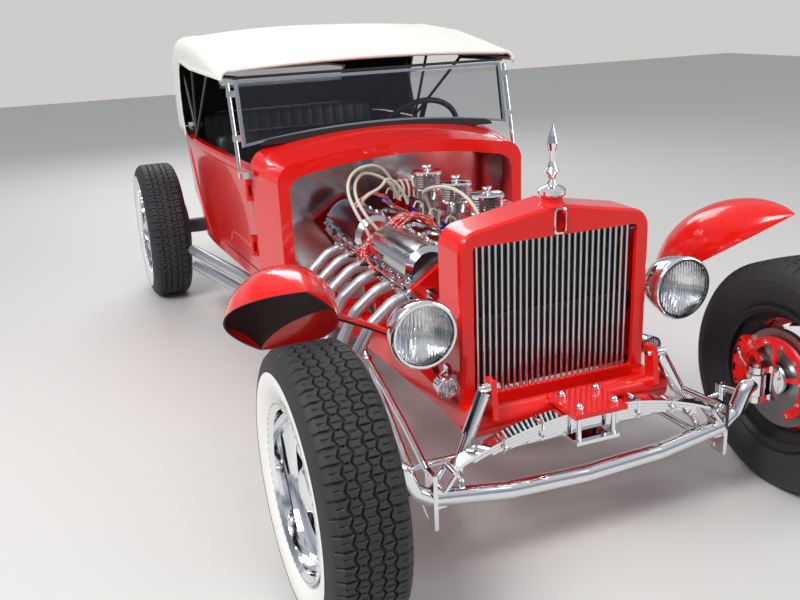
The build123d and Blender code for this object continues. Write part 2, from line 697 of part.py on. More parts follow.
def plug_lead(y, plug_y):
    """Lead over the head's ridge with a boot on its outer edge."""
    body = tube([(50, y, 690), (100, y, 752), (168, y, 774), (318, y, 670), (322, plug_y, 624)],
                LEAD_R, LEAD_BEND)
    body += drum((308, plug_y, 622), "x", BOOT_R, 40)
    return body - intake_solid - engine_solids(1)


save("engine_hoses", *[hose(points) for points in HOSES])
leads = []
for y, plug_y in LEADS:
    lead = plug_lead(y, plug_y)
    leads += [lead, other_side(lead)]
save("plug_leads", *leads)


def air_cleaner(y):
    """Ribbed round element between two lids with a wing nut."""
    profile = [(0, 0), (48, 0), (50, 5), (50, 12), (43, 14)]
    for index in range(6):
        low = 16 + index * 9
        profile += [(43, low), (47, low + 2), (47, low + 5), (43, low + 7)]
    profile += [(50, 72), (50, 80), (44, 86), (10, 89), (8, 96), (0, 96)]
    return turned(profile, UPRIGHT, (CARB_X, y, 793.3))


save("air_cleaners", *[air_cleaner(y) for y in CARB_Y])


def pulleys():
    """Crank and water-pump pulleys with their belt, on the engine's nose."""
    y = ENGINE_FRONT - 26
    groove = [(0, 0), (1, 0), (1, 6), (0.92, 13), (1, 20), (1, 26), (0, 26)]
    wheels = []
    for x, z, radius in ((0, 380, 82), (0, 560, 66), (104, 500, 40)):
        wheels.append(turned([(r * radius, a) for r, a in groove], TO_FRONT, (x, y, z)))
    return wheels


save("pulleys", *pulleys())


# Exhaust: six headers a side into two logs, then two side pipes

HEADERS = [  # y at the head, drop point x, drop point z, y behind, log
    (-952.0, 470.0, 425.0, 20.0),
    (-817.0, 471.0, 412.0, 30.0),
    (-682.0, 472.0, 399.0, 40.0),
    (-560, 470.0, 436.0, 20.0),
    (-436, 473.0, 410.0, 20.0),
    (-312, 478.0, 358.0, 12.0),
]
PIPE_R = 25.0
FRONT_LOG = [(468, -1000, 430), (471, -760, 402), (475, -520, 330), (480, -300, 262)]
REAR_LOG = [(468, -590, 442), (473, -450, 415), (478, -330, 358), (480, -200, 332)]
UPPER_PIPE = [(484, 60, 330), (520, 420, 330), (646, 1010, 330)]
LOWER_PIPE = [(484, 60, 255), (520, 420, 255), (640, 985, 255)]


def header_set():
    body = tube(FRONT_LOG, PIPE_R, 160) + tube(REAR_LOG, PIPE_R, 140)
    for y, x, z, back in HEADERS:
        body += tube([(283, y, 608), (345, y, 590), (410, y + back / 2, 530), (x, y + back, z)],
                     19, 45)
        body += extrude(Plane(origin=(282.5, y, 608.5), z_dir=(0.817, 0, -0.577))
                        * RectangleRounded(60, 60, 12), 8)
    return body


left_headers = header_set()
left_headers -= along_y(list(HEAD), ENGINE_FRONT + 8, ENGINE_BACK - 8)
save("exhaust_headers", left_headers, other_side(left_headers))


def side_pipe(log, points):
    """Hollow pipe that goes on from a log's end."""
    end = Vector(*log[-1])
    onward = (end - Vector(*log[-2])).normalized()
    return tube([end + onward * 0.3, end + onward * 90] + points, PIPE_R, 400, PIPE_R - 3)


upper, lower = side_pipe(REAR_LOG, UPPER_PIPE), side_pipe(FRONT_LOG, LOWER_PIPE)
save("side_pipes", upper, other_side(upper), lower, other_side(lower))


# Body: cowl with an arched top, tub with a rolled edge, doors and floor

def arch(half, low, side_z, corner, shoulder_z, top_z):
    """Upright outline: straight sides, round shoulders and an arched top."""
    bend_x, bend_z = half - 0.24 * corner, side_z + 0.72 * (shoulder_z - side_z)
    return Wire([
        Line((-half, 0, low), (-half, 0, side_z)),
        ThreePointArc((-half, 0, side_z), (-bend_x, 0, bend_z), (-(half - corner), 0, shoulder_z)),
        ThreePointArc((-(half - corner), 0, shoulder_z), (0, 0, top_z), (half - corner, 0, shoulder_z)),
        ThreePointArc((half - corner, 0, shoulder_z), (bend_x, 0, bend_z), (half, 0, side_z)),
        Line((half, 0, side_z), (half, 0, low)),
        Line((half, 0, low), (-half, 0, low)),
    ])


def arch_loft(stations, inset=0.0):
    """Ruled loft through arch outlines: y, half width, low, side z, corner, shoulder, top."""
    faces = []
    for y, half, low, side_z, corner, shoulder_z, top_z in stations:
        outline = arch(half - inset, low, side_z - inset * 0.6, corner, shoulder_z - inset,
                       top_z - inset)
        faces.append(Pos(0, y, 0) * make_face(outline))
    return loft(faces, ruled=True)


COWL = [  # y, half width, low, side z, corner, shoulder z, top z
    (COWL_FRONT, 492.0, BODY_LOW, 832.0, 80.0, 914.0, 952.0),
    (COWL_BACK, 530.0, BODY_LOW, 838.0, 86.0, 944.0, 988.0),
]


def along(table, y):
    """Row of a two-row table at another y."""
    first, last = table[0], table[-1]
    share = (y - first[0]) / (last[0] - first[0])
    return tuple(a + (b - a) * share for a, b in zip(first, last))


def cowl():
    body = arch_loft(COWL)
    recess = [along(COWL, COWL_FRONT + 16), along(COWL, FIREWALL_Y - 6)]
    cabin = [along(COWL, FIREWALL_Y + 6), along(COWL, COWL_BACK + 5)]
    for stations in (recess, cabin):
        stations = [(row[0], row[1], BODY_LOW - 60) + row[3:] for row in stations]
        body -= arch_loft(stations, 18)
    mouth = [(COWL_FRONT - 5, 450.0, BODY_LOW - 60, 786.0, 62.0, 868.0, 907.0),
             (COWL_FRONT + 20, 450.0, BODY_LOW - 60, 786.0, 62.0, 868.0, 907.0)]
    body -= arch_loft(mouth)
    body -= block((-474, 474), (FIREWALL_Y - 20, FIREWALL_Y + 10), (BODY_LOW - 10, FLOOR_Z))
    body += block((-500, 500), (FIREWALL_Y, COWL_BACK), (FLOOR_Z, FLOOR_Z + 18))
    return body


cowl_solid = cowl()
save("cowl", cowl_solid)


def plan(inset, z, narrow=0.0):
    """Closed plan outline of the tub from the cowl to the round tail."""
    side = [(530.0, COWL_BACK), (566.0, 640.0), (580.0, 1000.0), (556.0, 1400.0)]
    side = [(x - inset - narrow, y) for x, y in side]
    tail = TAIL_Y - inset - narrow
    corner = (510 - inset - narrow, tail - 90)
    hip = (330 - inset * 0.7 - narrow, tail - 22)
    right = [Line((side[0][0], side[0][1], z), (side[1][0], side[1][1], z)),
             ThreePointArc((side[1][0], side[1][1], z), (side[2][0], side[2][1], z),
                           (side[3][0], side[3][1], z)),
             ThreePointArc((side[3][0], side[3][1], z), (corner[0], corner[1], z),
                           (hip[0], hip[1], z))]
    back = ThreePointArc((hip[0], hip[1], z), (0, tail, z), (-hip[0], hip[1], z))
    left = [ThreePointArc((-hip[0], hip[1], z), (-corner[0], corner[1], z),
                          (-side[3][0], side[3][1], z)),
            ThreePointArc((-side[3][0], side[3][1], z), (-side[2][0], side[2][1], z),
                          (-side[1][0], side[1][1], z)),
            Line((-side[1][0], side[1][1], z), (-side[0][0], side[0][1], z))]
    front = Line((-side[0][0], side[0][1], z), (side[0][0], side[0][1], z))
    return Wire(right + [back] + left + [front])


ROLL = [  # z, outer inset, how far the inner face stops short
    (BELT_Z - 22.0, 0.5, 8.0),
    (BELT_Z - 13.0, -7.0, 0.0),
    (BELT_Z + 7.0, -7.0, 0.0),
    (BELT_Z + 16.0, 1.0, 8.0),
]


def plan_stack(levels):
    """Ruled loft through plan outlines, each at its height and inset."""
    return loft([make_face(plan(inset, z)) for z, inset in levels], ruled=True)


def tub_walls():
    """Side and tail walls with the rolled edge."""
    outer = loft([make_face(plan(0, BODY_LOW, 22)), make_face(plan(0, BELT_Z))], ruled=True)
    inner = loft([make_face(plan(WALL, BODY_LOW - 1, 22)), make_face(plan(WALL, BELT_Z + 1))],
                 ruled=True)
    inner += block((-490, 490), (COWL_BACK - 20, COWL_BACK + 40), (BODY_LOW - 5, BELT_Z + 5))
    roll = plan_stack([(z, grow_out) for z, grow_out, grow_in in ROLL])
    roll -= plan_stack([(z, WALL + 9 - grow_in) for z, grow_out, grow_in in ROLL])
    roll -= block((-480, 480), (COWL_BACK - 1, COWL_BACK + 60), (BELT_Z - 30, BELT_Z + 30))
    return (outer - inner) + roll


def tub_floors(walls):
    """Walls with the axle kick-up cut away, stepped floor and rear deck."""
    body = walls
    kick = make_face(Wire([
        Line((0, 1080, 300), (0, 1080, BODY_LOW)),
        ThreePointArc((0, 1080, BODY_LOW), (0, 1128, 474), (0, 1230, 520)),
        Line((0, 1230, 520), (0, 1700, 556)), Line((0, 1700, 556), (0, 1700, 300)),
        Line((0, 1700, 300), (0, 1080, 300))]))
    body -= extrude(kick, 700, dir=(1, 0, 0), both=True)
    floor = loft([make_face(plan(WALL - 2, FLOOR_Z, 19)), make_face(plan(WALL - 2, FLOOR_Z + 18, 18))])
    body += floor & block((-600, 600), (COWL_BACK, 918), (400, 500))
    deck = loft([make_face(plan(WALL - 2, 572, 13)), make_face(plan(WALL - 2, 590, 12))])
    body += deck & block((-600, 600), (900, 1700), (500, 600))
    body += block((-545, 545), (900, 918), (FLOOR_Z, 590))
    lid = extrude(make_face(plan(20, BELT_Z - 8)), 12)
    body += lid & block((-600, 600), (1520, 1700), (800, 900))
    return body


def door_window(front, back, low, radius):
    high = 1000
    face = Plane.YZ * (Pos((front + back) / 2, (low + high) / 2)
                       * RectangleRounded(back - front, high - low, radius))
    return Pos(482, 0, 0) * extrude(face, 160, dir=(1, 0, 0))


walls = tub_walls()
tub = tub_floors(walls)
left_cut = door_window(DOOR_FRONT - SEAM, DOOR_BACK + SEAM, DOOR_LOW - SEAM, 60)
left_door = door_window(DOOR_FRONT, DOOR_BACK, DOOR_LOW, 56)
left_door = walls & left_door
tub = tub - left_cut - other_side(left_cut)

HINGE_Y, HINGE_X = DOOR_FRONT - SEAM / 2, 541.0
for z in (560.0, 780.0):
    barrel = drum((HINGE_X, HINGE_Y, z), "z", 8, 40, 4 + RUN_FIT)
    wing = block((HINGE_X - 29, HINGE_X - 2), (HINGE_Y, HINGE_Y + 26), (z - 20, z + 20))
    left_door += barrel + (wing - drum((HINGE_X, HINGE_Y, z), "z", 4 + RUN_FIT, 60))
    post = drum((HINGE_X, HINGE_Y, z), "z", 4, 80)
    for end in (z - 30.5, z + 30.5):
        post += drum((HINGE_X, HINGE_Y, end), "z", 8, 20)
        post += block((HINGE_X - 34, HINGE_X - 2), (HINGE_Y - 24, HINGE_Y), (end - 10, end + 10))
    tub += post + other_side(post)


def side_x(y, z):
    """Half width of the door's outer face at a height."""
    widest = 566.0 - (640.0 - y) * 36 / 610
    return widest - 22.0 * (BELT_Z - z) / (BELT_Z - BODY_LOW)


def crease(points, radius, sink):
    """Raised round moulding along the side, given as (y, z) points."""
    spine = [(side_x(y, z) - sink, y, z) for y, z in points]
    return tube(spine, radius, 60)


sill = crease([(505, 488), (470, 530), (330, 532), (90, 526)], 8, 4)
left_door += sill
save("body_tub", tub)
save("door_left", left_door)
save("door_right", other_side(left_door))


# Cabin: dashboard, steering column and wheel, two bench seats

def dashboard():
    """Board under the cowl's rear arch with round instrument bezels."""
    row = along(COWL, COWL_BACK - 16)
    row = (row[0], row[1], 792.0) + row[3:]
    behind = (row[0] + 12,) + row[1:]
    board = arch_loft([row, behind], 18.6)
    for x in (190.0, 270.0, 350.0):
        board += drum((x, COWL_BACK + 2, 880), "y", 32, 12)
    return board


COLUMN_FOOT, COLUMN_HEAD = Vector(270, -44, 700), Vector(270, 262, 890)
COLUMN_AXIS = (COLUMN_HEAD - COLUMN_FOOT).normalized()


def steering_column():
    column = tube([COLUMN_FOOT, COLUMN_HEAD], 17)
    column += tube([COLUMN_HEAD - COLUMN_AXIS * 2, COLUMN_HEAD + COLUMN_AXIS * 20], 8)
    column -= block((100, 400), (FIREWALL_Y - 60, FIREWALL_Y + 6.1), (500, 900))
    clamp = block((245, 295), (COWL_BACK - 4, COWL_BACK + 10), (730, 792))
    return column + clamp


def steering_wheel():
    """Round rim, three flat spokes and a domed centre."""
    ring = revolve(Plane.XZ * (Pos(178, 0) * Circle(12)), Axis.Z, 360)
    hub = turned([(8.05, -12), (26, -12), (34, 2), (34, 10), (20, 18), (0, 20), (0, 14), (8.05, 14)],
                 UPRIGHT, (0, 0, 0))
    wheel = ring + hub
    for index in range(3):
        wheel += Rot(0, 0, 30 + 120 * index) * Pos(102, 0, 4) * Box(146, 24, 4)
    wheel -= Pos(0, 0, -10) * Cylinder(8.05, 48)
    plane = Plane(origin=COLUMN_HEAD + COLUMN_AXIS * 14, x_dir=(1, 0, 0), z_dir=COLUMN_AXIS)
    return plane.location * wheel


save("dashboard", dashboard())
save("steering_column", steering_column())
save("steering_wheel", steering_wheel())

BENCHES = [  # cushion front, cushion rear, back rear, base z, cushion top, back top, half
    (395.0, 770.0, 872.0, FLOOR_Z + 18.3, 628.0, 905.0, 505.0),
    (985.0, 1360.0, 1468.0, 590.3, 700.0, 945.0, 470.0),
]


def bench(front, middle, rear, base, top, back_top, half):
    """Cushion and upright squab with soft edges."""
    cushion = block((-half, half), (front, middle), (base, top))
    cushion = fillet(cushion.edges().group_by(Axis.Z)[-1], 30)
    side = make_face(Polyline((0, middle + 2, base), (0, middle + 30, back_top),
                              (0, rear + 24, back_top), (0, rear, base), close=True))
    squab = extrude(side, half, dir=(1, 0, 0), both=True)
    squab = fillet(squab.edges().group_by(Axis.Z)[-1], 24)
    return cushion, squab


cushions = []
for row in BENCHES:
    cushions += bench(*row)
save("seats", *cushions)


# Windscreen: raked frame, glass, seal on the cowl and double posts

SCREEN = Plane(origin=(0, 14, 962), x_dir=(1, 0, 0), z_dir=(0, -0.979, 0.204))
SCREEN_HALF, SCREEN_TALL, SCREEN_RISE, BAR = 541.0, 222.0, 44.0, 12.0


def screen_outline(grow):
    """Straight sides and top over an arched foot, in the screen's plane."""
    half, top, low = SCREEN_HALF + grow, SCREEN_TALL + grow, -grow
    return Wire([Line((-half, low, 0), (-half, top, 0)), Line((-half, top, 0), (half, top, 0)),
                 Line((half, top, 0), (half, low, 0)),
                 ThreePointArc((half, low, 0), (0, low + SCREEN_RISE, 0), (-half, low, 0))])


def screen_slab(grow, thick):
    return SCREEN.location * extrude(make_face(screen_outline(grow)), thick / 2, both=True)


def windshield_frame():
    body = screen_slab(BAR, 20) - screen_slab(0, 30)
    for side in (-1, 1):
        post = tube([(side * 577, -14, 862), (side * 577, 4, 950), (side * 577, 64, 1184)], 8, 200)
        foot = block((min(side * 532, side * 583), max(side * 532, side * 583)), (-34, 4), (840, 866))
        clamp_low = block((min(side * 551, side * 585), max(side * 551, side * 585)), (4, 26), (975, 999))
        clamp_top = block((min(side * 551, side * 585), max(side * 551, side * 585)), (44, 66), (1134, 1158))
        body += post + foot + clamp_low + clamp_top
    return body - cowl_solid


save("windshield_frame", windshield_frame())
save("windshield_glass", screen_slab(-0.3, 6))
seal = slab(arch(505.0, 880.0, 900.0, 60.0, 975.0, 1000.0), 2, 22)
save("windshield_seal", (seal - arch_loft([COWL[0], COWL[1]]) - screen_slab(BAR, 20)
                         - block((-600, 600), (0, 40), (700, 948))) - screen_slab(60, 20))


# Fabric top: shell over the bows, cut open at the sides and front, with a rear window

TOP_SKIN = 9.0
TOP_LOW = BELT_Z + 16.3
TOP = [  # y, half width, low z, side z, corner, shoulder z, top z
    (34.0, 606.0, TOP_LOW, 1204.0, 44.0, 1236.0, 1254.0),
    (200.0, 607.0, TOP_LOW, 1226.0, 60.0, 1268.0, 1292.0),
    (480.0, 608.0, TOP_LOW, 1262.0, 72.0, 1314.0, 1338.0),
    (860.0, 606.0, TOP_LOW, 1284.0, 80.0, 1338.0, 1360.0),
    (1200.0, 600.0, TOP_LOW, 1270.0, 90.0, 1326.0, 1356.0),
    (1400.0, 590.0, TOP_LOW, 1196.0, 104.0, 1258.0, 1306.0),
    (1500.0, 570.0, TOP_LOW, 1030.0, 116.0, 1112.0, 1166.0),
    (1556.0, 520.0, TOP_LOW, 900.0, 110.0, 952.0, 996.0),
]


def soft_top():
    outer = arch_loft(TOP)
    inner = [(row[0], row[1], row[2] - 40) + row[3:] for row in TOP]
    inner[0] = (TOP[0][0] + TOP_SKIN,) + inner[0][1:]
    inner[-1] = (TOP[-1][0] - 2 * TOP_SKIN,) + inner[-1][1:]
    body = outer - arch_loft(inner, TOP_SKIN)
    side_cut = make_face(Polyline((0, -20, 860), (0, -20, 1200), (0, 60, 1201), (0, 760, 1206),
                                  (0, 1040, 1224), (0, 1096, 1190), (0, 1150, 1080),
                                  (0, 1156, 980), (0, 1104, 860), close=True))
    body -= extrude(side_cut, 700, dir=(1, 0, 0), both=True)
    return body


canvas = soft_top()
save("soft_top", canvas - Pos(0, 1500, 1100) * Box(700, 300, 96))
save("rear_window", canvas & (Pos(0, 1500, 1100) * Box(699.4, 300, 95.4)))


def top_bows():
    """Hoop bows on side irons, with the header rail on the screen."""
    body = block((-560, 560), (46, 74), (1197, 1206))
    bows = [(480.0, 1236.0, 1312.0), (860.0, 1246.0, 1334.0), (1160.0, 1240.0, 1328.0)]
    for y, low, high in bows:
        hoop = tube([(-576, y, low - 40), (-570, y, low + 20), (-470, y, high - 28), (0, y, high),
                     (470, y, high - 28), (570, y, low + 20), (576, y, low - 40)], 8, 40)
        body += hoop
        for side in (-1, 1):
            body += tube([(side * 562, 1010, 886.3), (side * 576, y, low - 40)], 7)
    for side in (-1, 1):
        body += drum((side * 562, 1010, 886.3), "x", 15, 16)
        body += tube([(side * 576, 480, 1196), (side * 576, 240, 1200), (side * 540, 66, 1201)], 7, 40)
    return body


save("top_bows", top_bows())


# Rear: axle with differential, coil-over dampers, driveline, tank and tail lamps

def rear_axle():
    body = drum((0, REAR_Y, TYRE_R), "x", 38, 2 * (WHEEL_X - 120))
    gear = [(0, -95), (60, -88), (100, -50), (112, 0), (100, 50), (60, 88), (0, 95)]
    body += turned(gear, TO_FRONT, (0, REAR_Y, TYRE_R))
    body += drum((0, REAR_Y - 120, TYRE_R), "y", 42, 90)
    for side in (-1, 1):
        body += drum((side * (WHEEL_X - 106), REAR_Y, TYRE_R), "x", 128, 48)
        body += drum((side * (WHEEL_X - 42), REAR_Y, TYRE_R), "x", SPINDLE_R, 140)
        body += block((side * 330 - 12, side * 330 + 12), (REAR_Y + 20, REAR_Y + 64), (330, 372))
    return body


def coil_over():
    """Damper with a coil, drawn as stacked turned rings."""
    low, high = Vector(330, REAR_Y + 54, 352), Vector(330, REAR_Y + 65, 490)
    axis = (high - low).normalized()
    length = (high - low).length
    plane = Plane(origin=low, z_dir=axis)
    profile = [(0, 8), (15, 8), (15, 26)]
    for index in range(6):
        base = 28 + index * 13
        profile += [(20, base), (30, base + 4), (30, base + 7), (20, base + 11)]
    profile += [(15, 108), (15, length), (0, length)]
    body = plane.location * turned(profile, UPRIGHT, (0, 0, 0))
    return (body + drum((330, REAR_Y + 54, 352), "x", 14, 30)) - axle_rear - frame_solid


def drivetrain():
    """Bell housing, gearbox, shaft and its joints."""
    body = turned([(0, 0), (150, 0), (150, 24), (98, 90), (88, 120), (88, 300), (GEARBOX_TAIL_R, 320),
                   (GEARBOX_TAIL_R, 560), (45, 600), (0, 600)], Rot(-90, 0, 0), (0, ENGINE_BACK + 0.2, GEARBOX_Z))
    body &= block((-160, 160), (-200, 700), (225, 446))
    body += drum((0, 884.8, 349), "y", 34, 849.6)
    return body


axle_rear = rear_axle()
save("rear_axle", axle_rear)
left_coil = coil_over()
save("rear_coilovers", left_coil, other_side(left_coil))
save("drivetrain", drivetrain())

tank = fillet(block((-330, 330), (TAIL_Y - 62, REAR_Y + 235.7), (385, 525)).edges().filter_by(Axis.X), 36)
save("fuel_tank", tank + drum((-220, TAIL_Y + 32, 530), "z", 26, 24))

left_tail = turned([(0, 0), (44, 0), (44, 18), (36, 30), (0, 36)], Rot(-90, 0, 0),
                   (392, TAIL_Y - 34, 700)) - tub
save("tail_lamps", left_tail, other_side(left_tail))
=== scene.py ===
# %% [markdown]
# This notebook dresses a hot rod: the CAD nodes give every rigid part its place and
# size, and the cells below add the finishes and the pieces that CAD leaves plain,
# such as the tread, the cloth top, the trimmed seats and the braided hoses.

# %% Tools
import bpy
import json
import numpy as np
from mathutils import Matrix, Vector


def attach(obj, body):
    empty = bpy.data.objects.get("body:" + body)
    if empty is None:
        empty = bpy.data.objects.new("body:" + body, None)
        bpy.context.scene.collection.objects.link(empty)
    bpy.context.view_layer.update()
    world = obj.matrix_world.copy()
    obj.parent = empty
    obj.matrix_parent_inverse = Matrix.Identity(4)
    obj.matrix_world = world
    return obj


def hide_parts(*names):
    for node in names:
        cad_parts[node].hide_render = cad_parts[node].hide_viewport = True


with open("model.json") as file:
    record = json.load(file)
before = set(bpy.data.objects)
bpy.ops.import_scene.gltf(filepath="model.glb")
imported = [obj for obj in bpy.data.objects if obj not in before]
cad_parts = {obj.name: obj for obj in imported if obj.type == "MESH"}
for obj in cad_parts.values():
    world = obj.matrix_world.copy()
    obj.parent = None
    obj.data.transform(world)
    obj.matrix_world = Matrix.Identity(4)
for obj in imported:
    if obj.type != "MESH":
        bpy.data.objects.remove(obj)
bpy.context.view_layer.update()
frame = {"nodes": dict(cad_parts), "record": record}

# %% [markdown]
# The camera stands where the photographer stood: at the car's front right corner, a
# little above the radiator, looking down across the engine. Its place and turn are
# given as a position and three angles (heading, dip and lean), because those are what
# a photographer can picture.

# %% Camera
EYE = Vector((-1.2244, -3.3089, 1.4385))
HEADING, DIP, LEAN = 0.3664, 0.3225, -0.0448
FOCAL_PX, FRAME_PX, SENSOR_MM = 887.0, 800.0, 36.0


def aim(heading, dip, lean):
    """Right, up and back axes of a camera turned by heading, dipped, then leaned."""
    ahead = Vector((np.sin(heading) * np.cos(dip), np.cos(heading) * np.cos(dip), -np.sin(dip)))
    right = Vector((np.cos(heading), -np.sin(heading), 0.0))
    up = right.cross(ahead)
    leaned_right = right * np.cos(lean) + up * np.sin(lean)
    leaned_up = up * np.cos(lean) - right * np.sin(lean)
    return leaned_right, leaned_up, -ahead


scene = bpy.context.scene
camera_data = bpy.data.cameras.new("camera")
camera_data.sensor_width = SENSOR_MM
camera_data.lens = FOCAL_PX * SENSOR_MM / FRAME_PX
camera = bpy.data.objects.new("camera", camera_data)
scene.collection.objects.link(camera)
camera.matrix_world = Matrix.Translation(EYE) @ Matrix(aim(HEADING, DIP, LEAN)).transposed().to_4x4()
scene.camera = camera
print("lens", round(camera_data.lens, 2), "mm")

# %% [markdown]
# The sky and every finish are small graphs of nodes: they read a place or a facing,
# work on it with plain maths, and end in a colour, a roughness or a bump. These
# helpers keep each graph to a few readable lines.

# %% Node helpers
def wire(tree, start, end):
    """Link from an output to an input of the same tree."""
    tree.links.new(start, end)


def new_node(tree, kind, **settings):
    """A node with its sockets and properties set by name."""
    made = tree.nodes.new(kind)
    for key, value in settings.items():
        if key in made.inputs:
            made.inputs[key].default_value = value
        else:
            setattr(made, key, value)
    return made


def ramp(tree, stops, source):
    """Colour ramp from (place, colour) stops, driven by a socket."""
    made = tree.nodes.new("ShaderNodeValToRGB")
    for index, (place, colour) in enumerate(stops):
        stop = made.color_ramp.elements[index] if index < 2 else made.color_ramp.elements.new(place)
        stop.position, stop.color = place, (*colour, 1.0)
    wire(tree, source, made.inputs["Fac"])
    return made.outputs["Color"]


def math_node(tree, operation, *values):
    """Output of a maths node whose inputs are sockets or numbers."""
    made = new_node(tree, "ShaderNodeMath", operation=operation)
    for socket, value in zip(made.inputs, values):
        if isinstance(value, (int, float)):
            socket.default_value = value
        else:
            wire(tree, value, socket)
    return made.outputs["Value"]


def coordinate(tree, kind):
    """Socket of a texture coordinate, such as Object or Normal."""
    return tree.nodes.new("ShaderNodeTexCoord").outputs[kind]


def parts_of(tree, vector):
    """X, Y and Z sockets of a vector."""
    made = tree.nodes.new("ShaderNodeSeparateXYZ")
    wire(tree, vector, made.inputs["Vector"])
    return made.outputs


def noise(tree, scale, detail):
    """Noise over a piece, read in the piece's own space."""
    made = new_node(tree, "ShaderNodeTexNoise", Scale=scale, Detail=detail)
    wire(tree, coordinate(tree, "Object"), made.inputs["Vector"])
    return made.outputs["Fac"]


def into_shader(tree, **sources):
    """Sockets wired into the tree's shader, by the name of the input."""
    for name, source in sources.items():
        wire(tree, source, tree.nodes["Principled BSDF"].inputs[name.replace("_", " ")])


def emboss(tree, height, strength, distance):
    """Bump on the tree's shader from a height socket."""
    relief = new_node(tree, "ShaderNodeBump", Strength=strength, Distance=distance)
    wire(tree, height, relief.inputs["Height"])
    into_shader(tree, Normal=relief.outputs["Normal"])


print("node helpers ready")

# %% [markdown]
# A plain studio: a pale floor, one large soft lamp high on the sunny side, a weaker
# one opposite, one behind, and a sky in bands of light and dark, so that the chrome has
# something to show. The camera itself sees a plain grey backdrop instead of the bands.

# %% Studio
scene.view_settings.view_transform = "Standard"
world = bpy.data.worlds.new("studio")
scene.world = world
world.use_nodes = True
sky = world.node_tree
STUDIO_SKY = [(0.0, (0.42, 0.40, 0.38)), (0.47, (0.50, 0.49, 0.48)), (0.52, (0.78, 0.80, 0.84)),
              (0.62, (0.30, 0.34, 0.42)), (0.78, (0.85, 0.88, 0.95)), (1.0, (1.0, 1.0, 1.0))]
level = math_node(sky, "MULTIPLY_ADD", parts_of(sky, coordinate(sky, "Generated"))["Z"], 0.5, 0.5)
bands = sky.nodes["Background"]
bands.inputs["Strength"].default_value = 0.62
backdrop = new_node(sky, "ShaderNodeBackground", Color=(0.62, 0.61, 0.60, 1.0), Strength=1.0)
choose = sky.nodes.new("ShaderNodeMixShader")
wire(sky, ramp(sky, STUDIO_SKY, level), bands.inputs["Color"])
wire(sky, sky.nodes.new("ShaderNodeLightPath").outputs["Is Camera Ray"], choose.inputs["Fac"])
wire(sky, bands.outputs[0], choose.inputs[1])
wire(sky, backdrop.outputs[0], choose.inputs[2])
wire(sky, choose.outputs[0], sky.nodes["World Output"].inputs["Surface"])


def soft_lamp(name, place, target, size, watts):
    """Square area lamp at a place, turned to a target."""
    data = bpy.data.lights.new(name, "AREA")
    data.size, data.energy = size, watts
    lamp = bpy.data.objects.new(name, data)
    lamp.location = place
    lamp.rotation_euler = (Vector(target) - Vector(place)).to_track_quat("-Z", "Y").to_euler()
    scene.collection.objects.link(lamp)


soft_lamp("key", (-3.2, -2.4, 4.6), (0.0, 0.0, 0.6), 2.2, 260)
soft_lamp("fill", (4.2, -3.2, 2.8), (0.0, 0.0, 0.5), 3.0, 90)
soft_lamp("rear", (0.5, 5.2, 3.6), (0.0, 0.5, 0.6), 3.0, 120)

# %% [markdown]
# Every finish is a small node tree on a principled shader. Colour that is the same all
# over is written on the shader's own sockets; what varies, such as a faint waviness
# in paint or scuffs on rubber, comes from a noise read in object coordinates.

# %% Finishes
def finish(name, colour, metallic=0.0, roughness=0.4, mottle=0.04, grain=60.0, bump=0.0,
           bump_grain=400.0, **sockets):
    """Principled material with a fine noise that breaks up its roughness."""
    material = bpy.data.materials.new(name)
    material.use_nodes = True
    tree = material.node_tree
    shader = tree.nodes["Principled BSDF"]
    shader.inputs["Base Color"].default_value = (*colour, 1.0)
    shader.inputs["Metallic"].default_value = metallic
    for key, value in sockets.items():
        shader.inputs[key.replace("_", " ")].default_value = value
    span = new_node(tree, "ShaderNodeMapRange")
    span.inputs["To Min"].default_value = max(roughness - mottle, 0.0)
    span.inputs["To Max"].default_value = roughness + mottle
    wire(tree, noise(tree, grain, 3.0), span.inputs["Value"])
    into_shader(tree, Roughness=span.outputs["Result"])
    if bump:
        emboss(tree, noise(tree, bump_grain, 4.0), bump, 0.001)
    return material


RED, BRIGHT, DULL_BLACK = (0.74, 0.008, 0.005), (0.86, 0.87, 0.89), (0.014, 0.013, 0.013)
PAINT = {"roughness": 0.2, "Coat_Weight": 0.5, "Specular_IOR_Level": 0.3, "mottle": 0.02, "grain": 9.0,
         "Coat_Roughness": 0.03}
GLASS = {"roughness": 0.02, "mottle": 0.01, "Transmission_Weight": 1.0, "IOR": 1.45}
red_paint = finish("red_paint", RED, **PAINT)
chrome = finish("chrome", BRIGHT, 1.0, 0.06, mottle=0.02, grain=14.0)
polished_alloy = finish("polished_alloy", (0.60, 0.61, 0.63), 1.0, 0.16, mottle=0.05, grain=30.0)
silver_pipe = finish("silver_pipe", (0.62, 0.64, 0.68), 0.85, 0.32, mottle=0.06, grain=40.0)
bare_steel = finish("bare_steel", (0.42, 0.42, 0.44), 1.0, 0.38, bump=0.2)
cast_metal = finish("cast_metal", (0.10, 0.10, 0.11), 0.3, 0.55, bump=0.5)
core_fins = finish("core_fins", (0.035, 0.035, 0.038), 0.2, 0.6, bump=0.6, bump_grain=300.0)
clear_glass = finish("clear_glass", (1.0, 1.0, 1.0), **GLASS)
black_rubber = finish("black_rubber", (0.012, 0.012, 0.013), roughness=0.55, bump=0.3)
black_leather = finish("black_leather", DULL_BLACK, roughness=0.42, bump=0.5, bump_grain=260.0)
black_iron = finish("black_iron", (0.02, 0.02, 0.022), roughness=0.35)
tail_red = finish("tail_red", (0.45, 0.006, 0.004), roughness=0.12, Coat_Weight=1.0)
tyre_rubber = finish("tyre_rubber", (0.022, 0.022, 0.024), roughness=0.62, bump=0.35, bump_grain=240.0)
canvas = finish("canvas", (0.80, 0.78, 0.73), roughness=0.8, bump=0.25, bump_grain=900.0)
print(len(bpy.data.materials), "finishes")

